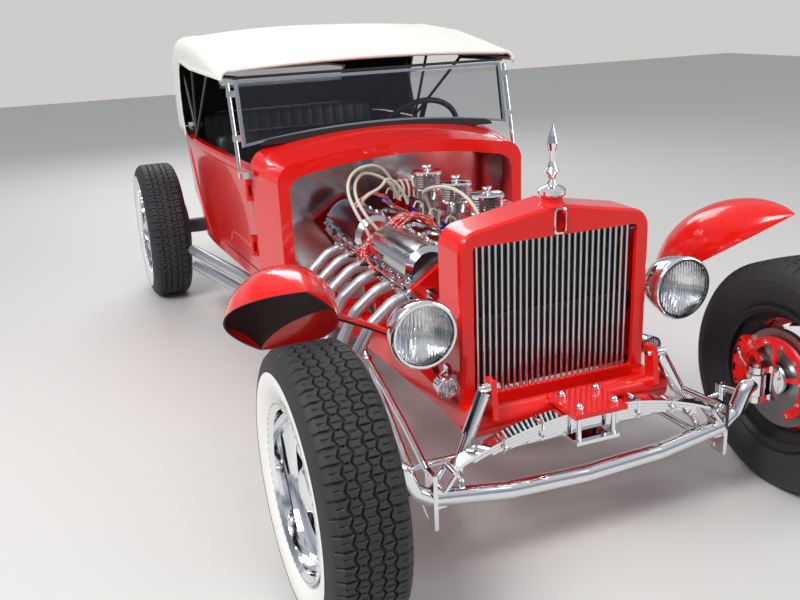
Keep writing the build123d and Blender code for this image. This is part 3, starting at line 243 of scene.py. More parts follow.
# %% [markdown]
# Some parts show two colours: the doors and the tub are red outside and trimmed in
# black inside. A fender's underside and a rim's inner barrel towards the brake are
# painted near black as painted shade. The mask is worked out from where a point is and
# which way its face looks, both in the object's own space, so it stays put from every side.

# %% Two-tone panels
# The last value is the distance from the car's middle inside which a rim is painted dark as painted shade.
CABIN_MIDDLE_Y, TRIM_TOP, SHADED_BARREL_X = 0.80, 0.845, 0.712


def two_tone(name, inner_colour, mask, outer_colour=RED, metal=False):
    """One finish outside and a duller inner colour where the mask's socket is 1."""
    material = finish(name, outer_colour, **PAINT)
    tree = material.node_tree
    inside = mask(tree, coordinate(tree, "Object"), coordinate(tree, "Normal"))
    outside = math_node(tree, "SUBTRACT", 1.0, inside)
    mixed = new_node(tree, "ShaderNodeMix", data_type="RGBA")
    mixed.inputs[6].default_value = (*outer_colour, 1.0)
    mixed.inputs[7].default_value = (*inner_colour, 1.0)
    wire(tree, inside, mixed.inputs["Factor"])
    into_shader(tree, Base_Color=mixed.outputs[2], Coat_Weight=math_node(tree, "MULTIPLY", outside, 0.5),
                Roughness=math_node(tree, "MULTIPLY_ADD", inside, 0.45, 0.06 if metal else 0.2))
    if metal:
        into_shader(tree, Metallic=outside)
    return material


def looks_inwards(tree, place, normal):
    """1 on faces that look at the cabin's middle, below the rolled edge, and on floors."""
    where, look = parts_of(tree, place), parts_of(tree, normal)
    from_middle = math_node(tree, "SUBTRACT", where["Y"], CABIN_MIDDLE_Y)
    across = math_node(tree, "MULTIPLY", where["X"], look["X"])
    lengthwise = math_node(tree, "MULTIPLY", from_middle, look["Y"])
    inwards = math_node(tree, "LESS_THAN", math_node(tree, "ADD", across, lengthwise), -0.1)
    floor_like = math_node(tree, "GREATER_THAN", look["Z"], 0.9)
    either = math_node(tree, "MAXIMUM", inwards, floor_like)
    return math_node(tree, "MULTIPLY", either, math_node(tree, "LESS_THAN", where["Z"], TRIM_TOP))


# Marks faces that look at the ground, which the fender's finish paints dark as painted shade.
def looks_down(tree, place, normal):
    """1 on faces that look at the ground."""
    return math_node(tree, "LESS_THAN", parts_of(tree, normal)["Z"], -0.12)


# Marks a rim's inner barrel, which the rim's finish paints near black as painted shade.
def inner_barrel(tree, place, normal):
    """1 on the part of a rim that lies nearer the car's middle than the spokes."""
    from_middle = math_node(tree, "ABSOLUTE", parts_of(tree, place)["X"])
    return math_node(tree, "LESS_THAN", from_middle, SHADED_BARREL_X)


trimmed_panel = two_tone("trimmed_panel", DULL_BLACK, looks_inwards)
# The fenders' undersides are painted near black as painted shade, not in a paint of their own.
painted_shade_underside = two_tone("painted_shade_underside", (0.03, 0.012, 0.012), looks_down)
# The rims' inner barrels are painted near black as painted shade; the chrome outside is the rim's own.
chrome_rim_painted_shade = two_tone("chrome_rim_painted_shade", (0.02, 0.02, 0.022), inner_barrel, BRIGHT, metal=True)
print("two-tone", trimmed_panel.name, painted_shade_underside.name, chrome_rim_painted_shade.name)

# %% [markdown]
# A fluted lens is clear glass with upright waves in its bump. Every node then takes the
# finish of its material slot, unless it is in the short table of special ones.

# %% Dress the nodes
fluted_glass = finish("fluted_glass", (1.0, 1.0, 1.0), **GLASS)
flutes = new_node(fluted_glass.node_tree, "ShaderNodeTexWave", Scale=34.0, bands_direction="X")
wire(fluted_glass.node_tree, coordinate(fluted_glass.node_tree, "Object"), flutes.inputs["Vector"])
emboss(fluted_glass.node_tree, flutes.outputs["Fac"], 0.5, 0.002)
SLOT_FINISH = {
    "red_paint": red_paint, "chrome": chrome, "polished_alloy": polished_alloy,
    "silver_pipe": silver_pipe, "steel": bare_steel, "cast": cast_metal, "tyre": tyre_rubber,
    "glass": clear_glass, "rear_pane": clear_glass, "rubber": black_rubber,
    "leather": black_leather, "canvas": canvas, "black_plastic": black_iron,
    "red_lens": tail_red, "hose": black_rubber,
}
NODE_FINISH = {
    "radiator_core": core_fins, "lamp_lenses": fluted_glass, "body_tub": trimmed_panel,
    # front fenders: painted shade on their undersides
    "door_left": trimmed_panel, "door_right": trimmed_panel, "front_fenders": painted_shade_underside,
    # rims: chrome outside, painted shade on their inner barrels
    "rim_fl": chrome_rim_painted_shade, "rim_fr": chrome_rim_painted_shade, "rim_rl": chrome_rim_painted_shade, "rim_rr": chrome_rim_painted_shade,
}
SLOTS = {part["node"]: part["material_slot"] for part in frame["record"]["subparts"]}
for name, part in frame["nodes"].items():
    part.data.materials.clear()
    part.data.materials.append(NODE_FINISH.get(name, SLOT_FINISH[SLOTS[name]]))
print("dressed", len(frame["nodes"]), "nodes")

# %% [markdown]
# Every new piece below is a surface worked out as an array of points, in millimetres. A
# grid of points becomes a skin of four-sided faces, and skins joined under one name
# become a piece that rides on a body of the part.

# %% Skins and pieces
MM = 0.001


def grid_faces(rows, columns, close_rows, close_columns):
    """Corner numbers of the quads of a grid, and the corners' (turn, run) on a unit square."""
    row, column = np.meshgrid(np.arange(rows if close_rows else rows - 1),
                              np.arange(columns if close_columns else columns - 1), indexing="ij")
    rows_of = row[..., None] + np.array([0, 1, 1, 0])
    columns_of = column[..., None] + np.array([0, 0, 1, 1])
    corners = (rows_of % rows) * columns + columns_of % columns
    square = np.stack([columns_of / columns, rows_of / rows], axis=-1)
    return corners.reshape(-1, 4), square.reshape(-1, 4, 2)


def skin(points, coat=0, close_rows=False, close_columns=True, capped=True, keep=None):
    """Points (rows, columns, 3) as a skin whose faces look outwards, with flat end caps.

    The sign of the volume that the faces enclose tells which way they look; where it is
    negative, every face is turned round. keep drops faces where it is False."""
    rows, columns = points.shape[:2]
    corners, square = grid_faces(rows, columns, close_rows, close_columns)
    flat = points.reshape(-1, 3) * MM
    a, b, c, d = (flat[corners[:, k]] - flat.mean(axis=0) for k in range(4))
    enclosed = (a * (np.cross(b, c) + np.cross(c, d))).sum()
    coats = np.broadcast_to(coat, len(corners)) if np.ndim(coat) == 0 else np.asarray(coat).ravel()
    if keep is not None:
        corners, square, coats = corners[keep.ravel()], square[keep.ravel()], coats[keep.ravel()]
    if enclosed < 0:
        corners, square = corners[:, ::-1], square[:, ::-1]
    faces, squares = corners.tolist(), list(square)
    if capped and not close_rows:
        ends = [list(range(columns)), list(range(rows * columns - 1, (rows - 1) * columns - 1, -1))]
        faces += ends if enclosed > 0 else [end[::-1] for end in ends]
        squares += [np.zeros((columns, 2)), np.zeros((columns, 2))]
        coats = np.append(coats, [coats[0], coats[-1]])
    return flat, faces, coats, squares


def make(name, skins, coats, body="chassis", stands_for=(), crease=35.0, mapped=False):
    """One object from skins, riding on a body; crease is the angle above which an edge is sharp."""
    points, faces, picks, squares, shift = [], [], [], [], 0
    for flat, corners, pick, square in skins:
        points.append(flat)
        faces += [[number + shift for number in face] for face in corners]
        picks.append(pick)
        squares += square
        shift += len(flat)
    mesh = bpy.data.meshes.new(name)
    mesh.from_pydata(np.concatenate(points), [], faces)
    mesh.polygons.foreach_set("material_index", np.concatenate(picks).astype(np.int32))
    if mapped:
        layer = mesh.uv_layers.new(name="surface")
        layer.data.foreach_set("uv", np.concatenate(squares).astype(np.float32).ravel())
    mesh.shade_smooth()
    mesh.set_sharp_from_angle(angle=np.radians(crease))
    piece = bpy.data.objects.new(name, mesh)
    for coat in coats:
        mesh.materials.append(coat)
    scene.collection.objects.link(piece)
    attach(piece, body)
    if stands_for:
        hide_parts(*stands_for)
    print(name, len(mesh.polygons), "faces")
    return piece


print("skins ready")

# %% [markdown]
# Three shapes make nearly every piece: a profile turned about an axis is a bolt or a
# tyre, a circle carried along a path is a pipe or a hose, and a four-sided section with
# two caps is a bracket. A path is drawn as a few corners, which are then rounded.

# %% Shapes and paths
def lathe(profile, sides):
    """Rows of (radius, height) turned about Z: x = r cos t, y = r sin t, z = height."""
    profile = np.asarray(profile, float)
    turn = 2 * np.pi * np.arange(sides) / sides
    radius, height = profile[:, :1], profile[:, 1:]
    return np.stack([radius * np.cos(turn), radius * np.sin(turn), height + 0 * turn], axis=-1)


def stand(points, centre, axis):
    """Points with their own Z turned to an axis and their origin put at a centre."""
    up = np.asarray(axis, float) / np.linalg.norm(axis)
    side = np.cross((0.0, 0.0, 1.0), up)
    if np.linalg.norm(side) < 1e-6:
        side = np.cross((0.0, 1.0, 0.0), up)
    side /= np.linalg.norm(side)
    return points @ np.stack([side, np.cross(up, side), up]) + np.asarray(centre, float)


def turned(profile, sides, centre, axis, coat=0, **how):
    """Skin of a profile turned about an axis through a centre."""
    return skin(stand(lathe(profile, sides), centre, axis), coat, **how)


def pipe(path, radius, sides=12, hint=None):
    """Circle carried along a path; the radius is one value or one per point of the path.

    hint is a direction that the path never takes; where none is given, it is the
    direction that the path's own runs point along least."""
    path = np.asarray(path, float)
    along = np.gradient(path, axis=0)
    along /= np.linalg.norm(along, axis=1, keepdims=True)
    hint = np.linalg.svd(along)[2][-1] if hint is None else hint
    side = np.cross(along, np.asarray(hint, float))
    side /= np.linalg.norm(side, axis=1, keepdims=True)
    other = np.cross(side, along)
    turn = 2 * np.pi * np.arange(sides) / sides
    wide = np.broadcast_to(np.asarray(radius, float), len(path))[:, None, None]
    return path[:, None] + wide * (side[:, None] * np.cos(turn)[:, None]
                                   + other[:, None] * np.sin(turn)[:, None])


def tube(path, radius, sides=12, hint=None, coat=0):
    """Skin of a circle carried along a path."""
    return skin(pipe(path, radius, sides, hint), coat)


def pushed(outline, axis, places):
    """Flat outline as rows of points at several places along an axis (1 is Y and 2 is Z)."""
    return np.stack([np.insert(np.asarray(outline, float), axis, place, axis=1) for place in places])


def box_skin(x_range, y_range, z_range, coat=0):
    """Box between two corners as a four-sided section with caps."""
    (x0, x1), (y0, y1) = x_range, y_range
    return skin(pushed([(x0, y0), (x1, y0), (x1, y1), (x0, y1)], 2, z_range), coat)


def rounded(corners, bend, parts=8):
    """Straight runs joined by arcs of one radius that touch both runs."""
    corners = np.asarray(corners, float)
    path = [corners[:1]]
    for before, corner, after in zip(corners, corners[1:], corners[2:]):
        back, ahead = before - corner, after - corner
        back, ahead = back / np.linalg.norm(back), ahead / np.linalg.norm(ahead)
        half = 0.5 * np.arccos(np.clip(back @ ahead, -1, 1))
        middle = (back + ahead) / np.linalg.norm(back + ahead)
        centre = corner + middle * bend / np.sin(half)
        start, end = (corner + leg * bend / np.tan(half) - centre for leg in (back, ahead))
        share, sweep = np.linspace(0, 1, parts + 1)[:, None], np.pi - 2 * half
        path.append(centre + (start * np.sin((1 - share) * sweep) + end * np.sin(share * sweep))
                    / np.sin(sweep))
    return np.concatenate(path + [corners[-1:]])


def eased(corners, rounds=4):
    """Corner cutting: every run is replaced by its points at a quarter and three quarters."""
    path = np.asarray(corners, float)
    for _ in range(rounds):
        start, end = path[:-1], path[1:]
        inner = np.stack([0.75 * start + 0.25 * end, 0.25 * start + 0.75 * end], axis=1)
        path = np.concatenate([path[:1], inner.reshape(-1, 3), path[-1:]])
    return path


def spaced(path, step):
    """The same path with a point about every step millimetres."""
    path = np.asarray(path, float)
    length = np.append(0, np.cumsum(np.linalg.norm(np.diff(path, axis=0), axis=1)))
    places = np.linspace(0, length[-1], max(int(length[-1] / step), 2) + 1)
    return np.stack([np.interp(places, length, path[:, k]) for k in range(3)], axis=-1)


def circle_through(first, middle, last):
    """Centre (two values) and radius of the circle through three points of a plane."""
    (ax, az), (bx, bz), (cx, cz) = first, middle, last
    d = 2 * (ax * (bz - cz) + bx * (cz - az) + cx * (az - bz))
    square_a, square_b, square_c = ax**2 + az**2, bx**2 + bz**2, cx**2 + cz**2
    x = (square_a * (bz - cz) + square_b * (cz - az) + square_c * (az - bz)) / d
    z = (square_a * (cx - bx) + square_b * (ax - cx) + square_c * (bx - ax)) / d
    return x, z, np.hypot(ax - x, az - z)


print("shapes ready")

# %% [markdown]
# The tyres have a broad white wall on the side that is seen and a coarse block tread: a
# snaking centre rib, zigzag grooves on both sides of it, lozenge blocks cut by fine
# slits, and deep slits over the shoulders. The tread is a grid of one column every
# three millimetres round the tyre. The grooves follow the grid's own lines, which move
# sideways as a zigzag, so that their walls stay crisp with few faces.

# %% Tyres
TYRE_R, WHEEL_X, AXLE_Y = 347.5, 730, 1475
WHEELS = [("fl", 1, -AXLE_Y), ("fr", -1, -AXLE_Y), ("rl", 1, AXLE_Y), ("rr", -1, AXLE_Y)]
PITCHES, COLUMNS = 60, 12
GROOVES, GROOVE_TOP, GROOVE_FLOOR, GROOVE_DEEP = (16, 43), 3.8, 2.4, 7.5
SLIT_DEEP, SLIT_FINE, SNAKE, CROWN, TREAD_HALF = 6.5, 3.5, 4.5, 1.5, 70
SHOULDER_R, BEAD_R, BEAD_X = 332, 206.2, 74
WHITE_FROM, WHITE_TO, RIDGE = 216, 292, 294.5
WALL_RADII = [344, 339, 332.5, 326, 318, 309, 300, RIDGE, WHITE_TO, 290, 280, 268, 256, 244, 232,
              224, 218, WHITE_FROM]


def arc_x(radius, first, middle, last):
    """Distance from the wheel plane of a circle through three (radius, x) points."""
    centre_r, centre_x, size = circle_through(first, middle, last)
    return centre_x + np.sqrt(size**2 - (radius - centre_r) ** 2)


def tread_rows():
    """The tread's rows across the tyre: x, whether in a groove, and sideways weight."""
    rows = [(0, 0, 1), (6, 0, 1)]
    for number, middle in enumerate(GROOVES):
        weight = 1 if number == 0 else -1
        rows += [(middle - GROOVE_TOP, 0, weight), (middle - GROOVE_FLOOR, 1, weight),
                 (middle + GROOVE_FLOOR, 1, weight), (middle + GROOVE_TOP, 0, weight)]
        if number == 0:
            rows += [(24.5, 0, 0.5), (29.5, 0, 0), (34.5, 0, -0.5)]
    rows += [(53, 0, -0.4), (61, 0, 0), (TREAD_HALF, 0, 0)]
    both = [(-x, groove, weight) for x, groove, weight in rows[:0:-1]] + rows
    return (np.array(values, float)[:, None] for values in zip(*both))


def tread_surface(phase):
    """Radius and x of the tread: a crown, less the depth of its grooves and slits."""
    x, groove, weight = tread_rows()
    zigzag = SNAKE * (np.abs(phase - COLUMNS / 2) / (COLUMNS / 4) - 1)
    width, tread_x = np.abs(x), x + weight * zigzag
    lozenge = (width > 20) & (width < 39)
    depth = groove * GROOVE_DEEP + 0 * zigzag
    for where, cut in ((lozenge & (phase == 0), SLIT_DEEP),
                       (lozenge & (width > 22) & (width < 37) & (phase == 6), SLIT_FINE),
                       ((width < 7) & ((phase == 3) | (phase == 9)), SLIT_FINE),
                       ((width > 50) & (phase < 2), SLIT_DEEP), ((width > 58) & (phase == 7), SLIT_FINE)):
        depth = np.where(where, cut, depth)
    return TYRE_R - CROWN * (np.abs(tread_x) / TREAD_HALF) ** 2 - depth, tread_x


def tyre_surface(side):
    """Grid of the tyre from one bead over the tread to the other, and which rows are white."""
    column = np.arange(PITCHES * COLUMNS)
    phase, plain = column % COLUMNS, np.zeros(len(column))
    tread_r, tread_x = tread_surface(phase)
    wall_r = np.array(WALL_RADII)
    belly = arc_x(np.minimum(wall_r, SHOULDER_R), (222, 80), (272, 100), (SHOULDER_R, 87))
    wall_x = np.where(wall_r > SHOULDER_R, 87 - (wall_r - SHOULDER_R) * 17 / 14, belly)
    wall_x = np.where(wall_r < 222, 74 + (wall_r - 206) * 6 / 16, wall_x) - 0.3
    wall_x[wall_r == RIDGE] += 1.2
    outer_r = wall_r[:, None] - np.where((wall_r > 335)[:, None] & (phase < 2), 6, 0)
    outer_x = wall_x[:, None] + plain
    bead_r, bead_x = BEAD_R + plain[None], BEAD_X + plain[None]
    radius = np.concatenate([bead_r, outer_r[::-1], tread_r, outer_r, bead_r])
    across = np.concatenate([-bead_x, -outer_x[::-1], tread_x, outer_x, bead_x])
    turn = 2 * np.pi * column / len(column)
    points = np.stack([side * across, radius * np.sin(turn), radius * np.cos(turn)], axis=-1)
    white = np.zeros(radius.shape, int)
    white[len(radius) - len(wall_r) - 1:-1] = (wall_r <= WHITE_TO)[:, None]
    return points, white


white_wall = finish("white_wall", (0.80, 0.79, 0.75), roughness=0.45, bump=0.1, bump_grain=200.0)
for corner, side, axle_y in WHEELS:
    points, white = tyre_surface(side)
    tyre = skin(points + np.array([side * WHEEL_X, axle_y, TYRE_R]), white, close_rows=True)
    make("white_wall_tyre_" + corner, [tyre], [tyre_rubber, white_wall], "wheel_" + corner,
         stands_for=["tyre_" + corner], crease=30)

# %% [markdown]
# A ring of small rivets runs round the lip of each polished rim, and five domed nuts
# hold the wheel. Each rivet is a profile of four rows turned on six sides, because there
# are sixty on a wheel.

# %% Rim rivets and wheel nuts
RIVETS, RIVET_RING, NUTS, NUT_RING = 60, 214, 5, 71
LIP_REACH, DISC_REACH = 89.5, 31
RIVET = [(3.4, -1), (3.4, 0.6), (2.2, 2.2), (0.5, 2.8)]
WHEEL_NUT = [(11, -2), (11, 8), (9.5, 10), (8, 16), (4.5, 19.5), (0.6, 20.5)]


def ring_of(profile, sides, count, ring_radius, centre, axis):
    """The same turned piece set at equal angles on a ring round an axis through a centre."""
    piece = lathe(profile, sides)
    return [skin(stand(piece + np.array([ring_radius * np.cos(turn), ring_radius * np.sin(turn), 0]),
                       centre, axis))
            for turn in 2 * np.pi * (np.arange(count) + 0.5) / count]


for corner, side, axle_y in WHEELS:
    outwards = (side, 0, 0)
    lip, disc_face = ((side * (WHEEL_X + reach), axle_y, TYRE_R) for reach in (LIP_REACH, DISC_REACH))
    make("rim_fixings_" + corner, ring_of(RIVET, 6, RIVETS, RIVET_RING, lip, outwards)
         + ring_of(WHEEL_NUT, 10, NUTS, NUT_RING, disc_face, outwards), [chrome], "wheel_" + corner)

# %% [markdown]
# The soft top is one sheet of cloth stretched over the bows. Each row of the grid is an
# arch with straight sides, round shoulders and a crowned roof, and the rows run from
# the screen's header to the tail. The sheet's lower edge follows the side opening, two
# rows follow the window's edges, and the faces between them are left out as the hole.

# %% Soft top's shape
TUB_EDGE = 872
ARCHES = np.array([  # y, half width, side z, corner, shoulder z, top z
    (34, 606, 1204, 44, 1236, 1254),
    (200, 607, 1226, 60, 1268, 1292),
    (480, 608, 1262, 72, 1314, 1338),
    (860, 606, 1284, 80, 1338, 1360),
    (1200, 600, 1270, 90, 1326, 1356),
    (1400, 590, 1196, 104, 1258, 1306),
    (1500, 570, 1030, 116, 1112, 1166),
    (1556, 520, 900, 110, 952, 996),
])
OPENING_Y = (34, 60, 760, 1040, 1096, 1150, 1156, 1170, 1556)
OPENING_Z = (1201, 1201, 1206, 1224, 1190, 1080, 980, TUB_EDGE, TUB_EDGE)
ROWS_Y = np.concatenate([np.linspace(34, 1040, 34), (1068, 1096, 1120, 1150, 1156, 1170, 1200, 1260, 1330,
                                                     1400, 1440, 1475, 1500, 1506, 1522, 1538, 1548, 1556)])
TAIL_FROM, TAIL_TO, WINDOW_COLUMN = 1500, 1556, 0.80
WINDOW_EDGES = ((1506, 1148), (1538, 1052))  # row's y and the height that it is pulled to
SIDE_ROWS, CORNER_ROWS, ROOF_ROWS = 10, 7, 20
TUCK, TUCK_Y, TUCK_Z = 52, (1156, 1170), (875, 985)  # how far the cloth goes in behind the opening


def three_point_arc(first, middle, last, count):
    """Points at equal angles on the circle through three points in a plane, per row of arrays."""
    x, z, size = circle_through(first, middle, last)
    start, end = (np.arctan2(point[1] - z, point[0] - x) for point in (first, last))
    turn = start[:, None] + (end - start)[:, None] * np.linspace(0, 1, count + 1)
    return x[:, None] + size[:, None] * np.cos(turn), z[:, None] + size[:, None] * np.sin(turn)


def half_arch(y, low):
    """Right half of the arch at each y, from its low edge up to the middle of the roof."""
    half, side_z, corner, shoulder_z, top_z = (np.interp(y, ARCHES[:, 0], ARCHES[:, k])
                                               for k in range(1, 6))
    side_z = np.maximum(side_z, low)
    share = np.linspace(0, 1, SIDE_ROWS + 1)[:-1]
    side_x = half[:, None] + 0 * share
    side_height = low[:, None] + (side_z - low)[:, None] * share
    bend = half - 0.24 * corner, side_z + 0.72 * (shoulder_z - side_z)
    round_x, round_z = three_point_arc((half, side_z), bend, (half - corner, shoulder_z), CORNER_ROWS)
    share = np.linspace(1, 0, ROOF_ROWS + 1)
    share = np.sort(np.append(share[np.abs(share - WINDOW_COLUMN) > 0.03], WINDOW_COLUMN))[::-1]
    roof_x = (half - corner)[:, None] * share
    roof_z = top_z[:, None] - (top_z - shoulder_z)[:, None] * share**2
    x = np.concatenate([side_x, round_x[:, :-1], roof_x], axis=1)
    z = np.concatenate([side_height, round_z[:, :-1], roof_z], axis=1)
    return x, z, share


def top_surface():
    """Grid of the outer face, which faces stay, and the window's two rows and its column."""
    y = ROWS_Y
    x, z, share = half_arch(y, np.interp(y, OPENING_Y, OPENING_Z))
    columns, roof = x.shape[1], -len(share)
    depth = np.repeat(y[:, None], columns, axis=1)
    upper, lower = half_arch(np.array([TAIL_FROM, TAIL_TO]), np.full(2, TUB_EDGE))[1]
    window_side = columns + roof + int(np.argmin(np.abs(share - WINDOW_COLUMN)))
    pull = np.clip((np.arange(columns) - (window_side - 4)) / 4, 0, 1)
    first, last = (int(np.argmin(np.abs(y - place))) for place, _ in WINDOW_EDGES)
    for row, (_, height) in zip((first, last), WINDOW_EDGES):
        place = np.clip((upper - height) / (upper - lower), 0, 1)
        depth[row] += pull * (TAIL_FROM + (TAIL_TO - TAIL_FROM) * place - depth[row])
        height_there = upper + (lower - upper) * (depth[row] - TAIL_FROM) / (TAIL_TO - TAIL_FROM)
        z[row] = np.where(pull > 0, height_there, z[row])
    between = (first + last) // 2
    depth[between] = (depth[first] + depth[last]) / 2
    z[between, roof:] = (z[first, roof:] + z[last, roof:]) / 2
    tuck = (np.clip((y - TUCK_Y[0]) / (TUCK_Y[1] - TUCK_Y[0]), 0, 1)
            * np.clip((TAIL_TO - y) / (TAIL_TO - TUCK_Y[1]), 0, 1))
    depth -= TUCK * tuck[:, None] * np.clip((TUCK_Z[1] - z) / (TUCK_Z[1] - TUCK_Z[0]), 0, 1)
    right = np.stack([x, depth, z], axis=-1)
    whole = np.concatenate([right, right[:, -2::-1] * np.array([-1, 1, 1])], axis=1)
    keep = np.ones((whole.shape[0] - 1, whole.shape[1] - 1), bool)
    keep[first:last, window_side:whole.shape[1] - 1 - window_side] = False
    return whole, keep, (first, last), window_side


top_grid, top_keep, window_rows, window_side = top_surface()
print("top's grid", top_grid.shape[:2])

# %% [markdown]
# The cloth is hemmed under at the front and tucked behind the tub's edge at the rear. A
# Solidify modifier gives it its thickness, with the black lining inside.

# %% Soft top
CLOTH_MM = 4
hem = np.concatenate([top_grid[:1] + [0, 10, -14], top_grid[:1] + [0, 2, -9]])
rear_hem = top_grid[-1:] * np.array([1, 1, 0]) + [0, 0, TUB_EDGE + 14]
cloth = np.concatenate([hem, top_grid, (top_grid[-1:] + rear_hem) / 2, rear_hem])
keep = np.pad(top_keep, ((2, 2), (0, 0)), constant_values=True)
lining = finish("black_lining", (0.016, 0.015, 0.015), roughness=0.85, bump=0.2, bump_grain=700.0)
soft_top = make("cloth_top", [skin(cloth, close_columns=False, capped=False, keep=keep)],
                [canvas, lining], stands_for=["soft_top"], crease=50)
solid = soft_top.modifiers.new("thickness", "SOLIDIFY")
solid.thickness, solid.offset, solid.material_offset = CLOTH_MM * MM, -1, 1

# %% [markdown]
# The cloth's edges are bound: a doubled strip runs round the side openings, across the
# front, and round the rear window, where it covers the joint with the clear pane. Each
# binding is a flattened pipe along an edge of the same grid.

# %% Bindings
def binding(path, radius, flatten, hint):
    """Pipe whose cross-section is squashed towards its path along one direction."""
    middle = np.asarray(path)[:, None]
    offset = pipe(path, radius, 8, hint) - middle
    toward = np.asarray(hint, float) / np.linalg.norm(hint)
    return skin(middle + offset - (1 - flatten) * (offset @ toward)[..., None] * toward)


skins = []
for side in (1, -1):
    edge = top_grid[:40, 0] * np.array([side, 1, 1]) + np.array([side * -1, 0, 4])
    skins.append(binding(edge, 9, 0.45, (1, 0, 0)))
skins.append(binding(top_grid[0, 8:-8] + np.array([0, 3, -4]), 7, 0.8, (0, 1, 0)))
first_row, last_row = window_rows
window = top_grid[first_row:last_row + 1, window_side:top_grid.shape[1] - window_side]
loop = np.concatenate([window[0], window[1:, -1], window[-1, ::-1][1:], window[::-1, 0][1:]])
skins.append(binding(spaced(loop, 12), 13, 0.25, (0, 0.94, 0.34)))
make("top_bindings", skins, [canvas])

# %% [markdown]
# The benches are leather cushions: a rounded section carried across the car, crowned in
# the middle, drawn in at both ends and sewn into upright channels. The channels are a
# row of shallow waves in how far the section swells, which is how stuffed pleats look.

# %% Seats
BENCHES = {  # cushion front, cushion rear, back rear, base z, cushion top, back top, half width
    "front_bench": (395, 770, 872, 469, 628, 905, 505),
    "rear_bench": (985, 1360, 1468, 591, 700, 945, 470),
}
PLEATS, ACROSS, ROUND, SWELL = 16, 128, 44, 9


def pillow(corners, half, pleated):
    """Rounded four-sided section across the car: swells in the middle, with pleats on the faces.

    corners are (y, z) of the section; its outline is a superellipse of power 5 laid over
    them, and pleated picks the part of the outline, as a turn, that carries the waves."""
    corners = np.asarray(corners, float)
    turn = 2 * np.pi * np.arange(ROUND) / ROUND
    u, v = (np.sign(wave) * np.abs(wave) ** 0.4 for wave in (np.cos(turn), np.sin(turn)))
    weights = np.stack([(1 - u) * (1 - v), (1 + u) * (1 - v), (1 + u) * (1 + v), (1 - u) * (1 + v)]) / 4
    centre = corners.mean(axis=0)
    outward = weights.T @ corners - centre
    across = np.linspace(-1, 1, ACROSS + 1)
    ends = (1 - np.abs(across) ** 14) ** 0.5 * 0.16 + 0.84
    ends = np.where(np.abs(across) > 0.999, 0.80, ends)
    pleats = np.abs(np.sin(np.pi * PLEATS * (across + 1) / 2)) ** 0.5
    face = np.clip(np.cos(turn - pleated) * 1.8, 0, 1)
    puff = SWELL * face * (pleats[:, None] * 0.75 - 0.55) / np.linalg.norm(outward, axis=1)
    place = centre + outward * (ends[:, None] * (1 + puff))[..., None]
    x = np.repeat((across * half)[:, None], ROUND, axis=1)
    return skin(np.concatenate([x[..., None], place], axis=-1))


for name, (front, middle, rear, base, top, back_top, half) in BENCHES.items():
    cushion = pillow([(front, base), (middle, base), (middle, top - 2), (front, top - 6)], half, np.pi / 2)
    squab = pillow([(middle + 4, base), (rear - 2, base), (rear + 22, back_top), (middle + 32, back_top)],
                   half, np.pi)
    seat = make(name, [cushion, squab], [black_leather], stands_for=["seats"], crease=80)

# %% [markdown]
# Two finishes need more than a noise. The braid on a hose is a criss-cross of two sets
# of bands read from the piece's own map, one coordinate round the hose and one along
# it. A plug lead is red cotton with pale flecks, where a fine noise is high.

# %% Braid and cotton
def braid_finish(name, light, dark, strands, pitch):
    """Two sets of diagonal bands crossed on the piece's own (turn, run) map."""
    material = finish(name, light, roughness=0.5, mottle=0.08)
    tree = material.node_tree
    surface = parts_of(tree, new_node(tree, "ShaderNodeUVMap", uv_map="surface").outputs["UV"])
    round_it = math_node(tree, "MULTIPLY", surface["X"], 2 * np.pi * strands)
    along_it = math_node(tree, "MULTIPLY", surface["Y"], 2 * np.pi * pitch)
    waves = (math_node(tree, "SINE", math_node(tree, how, round_it, along_it))
             for how in ("ADD", "SUBTRACT"))
    level = math_node(tree, "MULTIPLY_ADD", math_node(tree, "MAXIMUM", *waves), 0.5, 0.5)
    into_shader(tree, Base_Color=ramp(tree, [(0, dark), (0.55, light)], level))
    emboss(tree, level, 0.6, 0.0012)
    return material


def flecked_finish(name, main, fleck):
    """Coloured cotton with pale flecks, where a fine noise is high."""
    material = finish(name, main, roughness=0.6)
    tree = material.node_tree
    flecks = ramp(tree, [(0.56, main), (0.62, fleck)], noise(tree, 260, 2))
    into_shader(tree, Base_Color=flecks)
    return material


cream_braid = braid_finish("cream_braid", (0.66, 0.62, 0.50), (0.16, 0.14, 0.10), 8, 90)
red_anodised = finish("red_anodised", (0.55, 0.008, 0.006), 1.0, 0.22)
blue_anodised = finish("blue_anodised", (0.02, 0.05, 0.42), 1.0, 0.22)
red_lead = flecked_finish("red_lead", (0.62, 0.02, 0.012), (0.85, 0.80, 0.74))
print("braid and cotton ready")

# %% [markdown]
# Four braided hoses rise from the plenum in wide loops, each with a red and blue
# anodised fitting at both ends, and three plug leads a side go over the covers. A hose
# is a circle carried along a path whose corners were cut until it curves evenly.

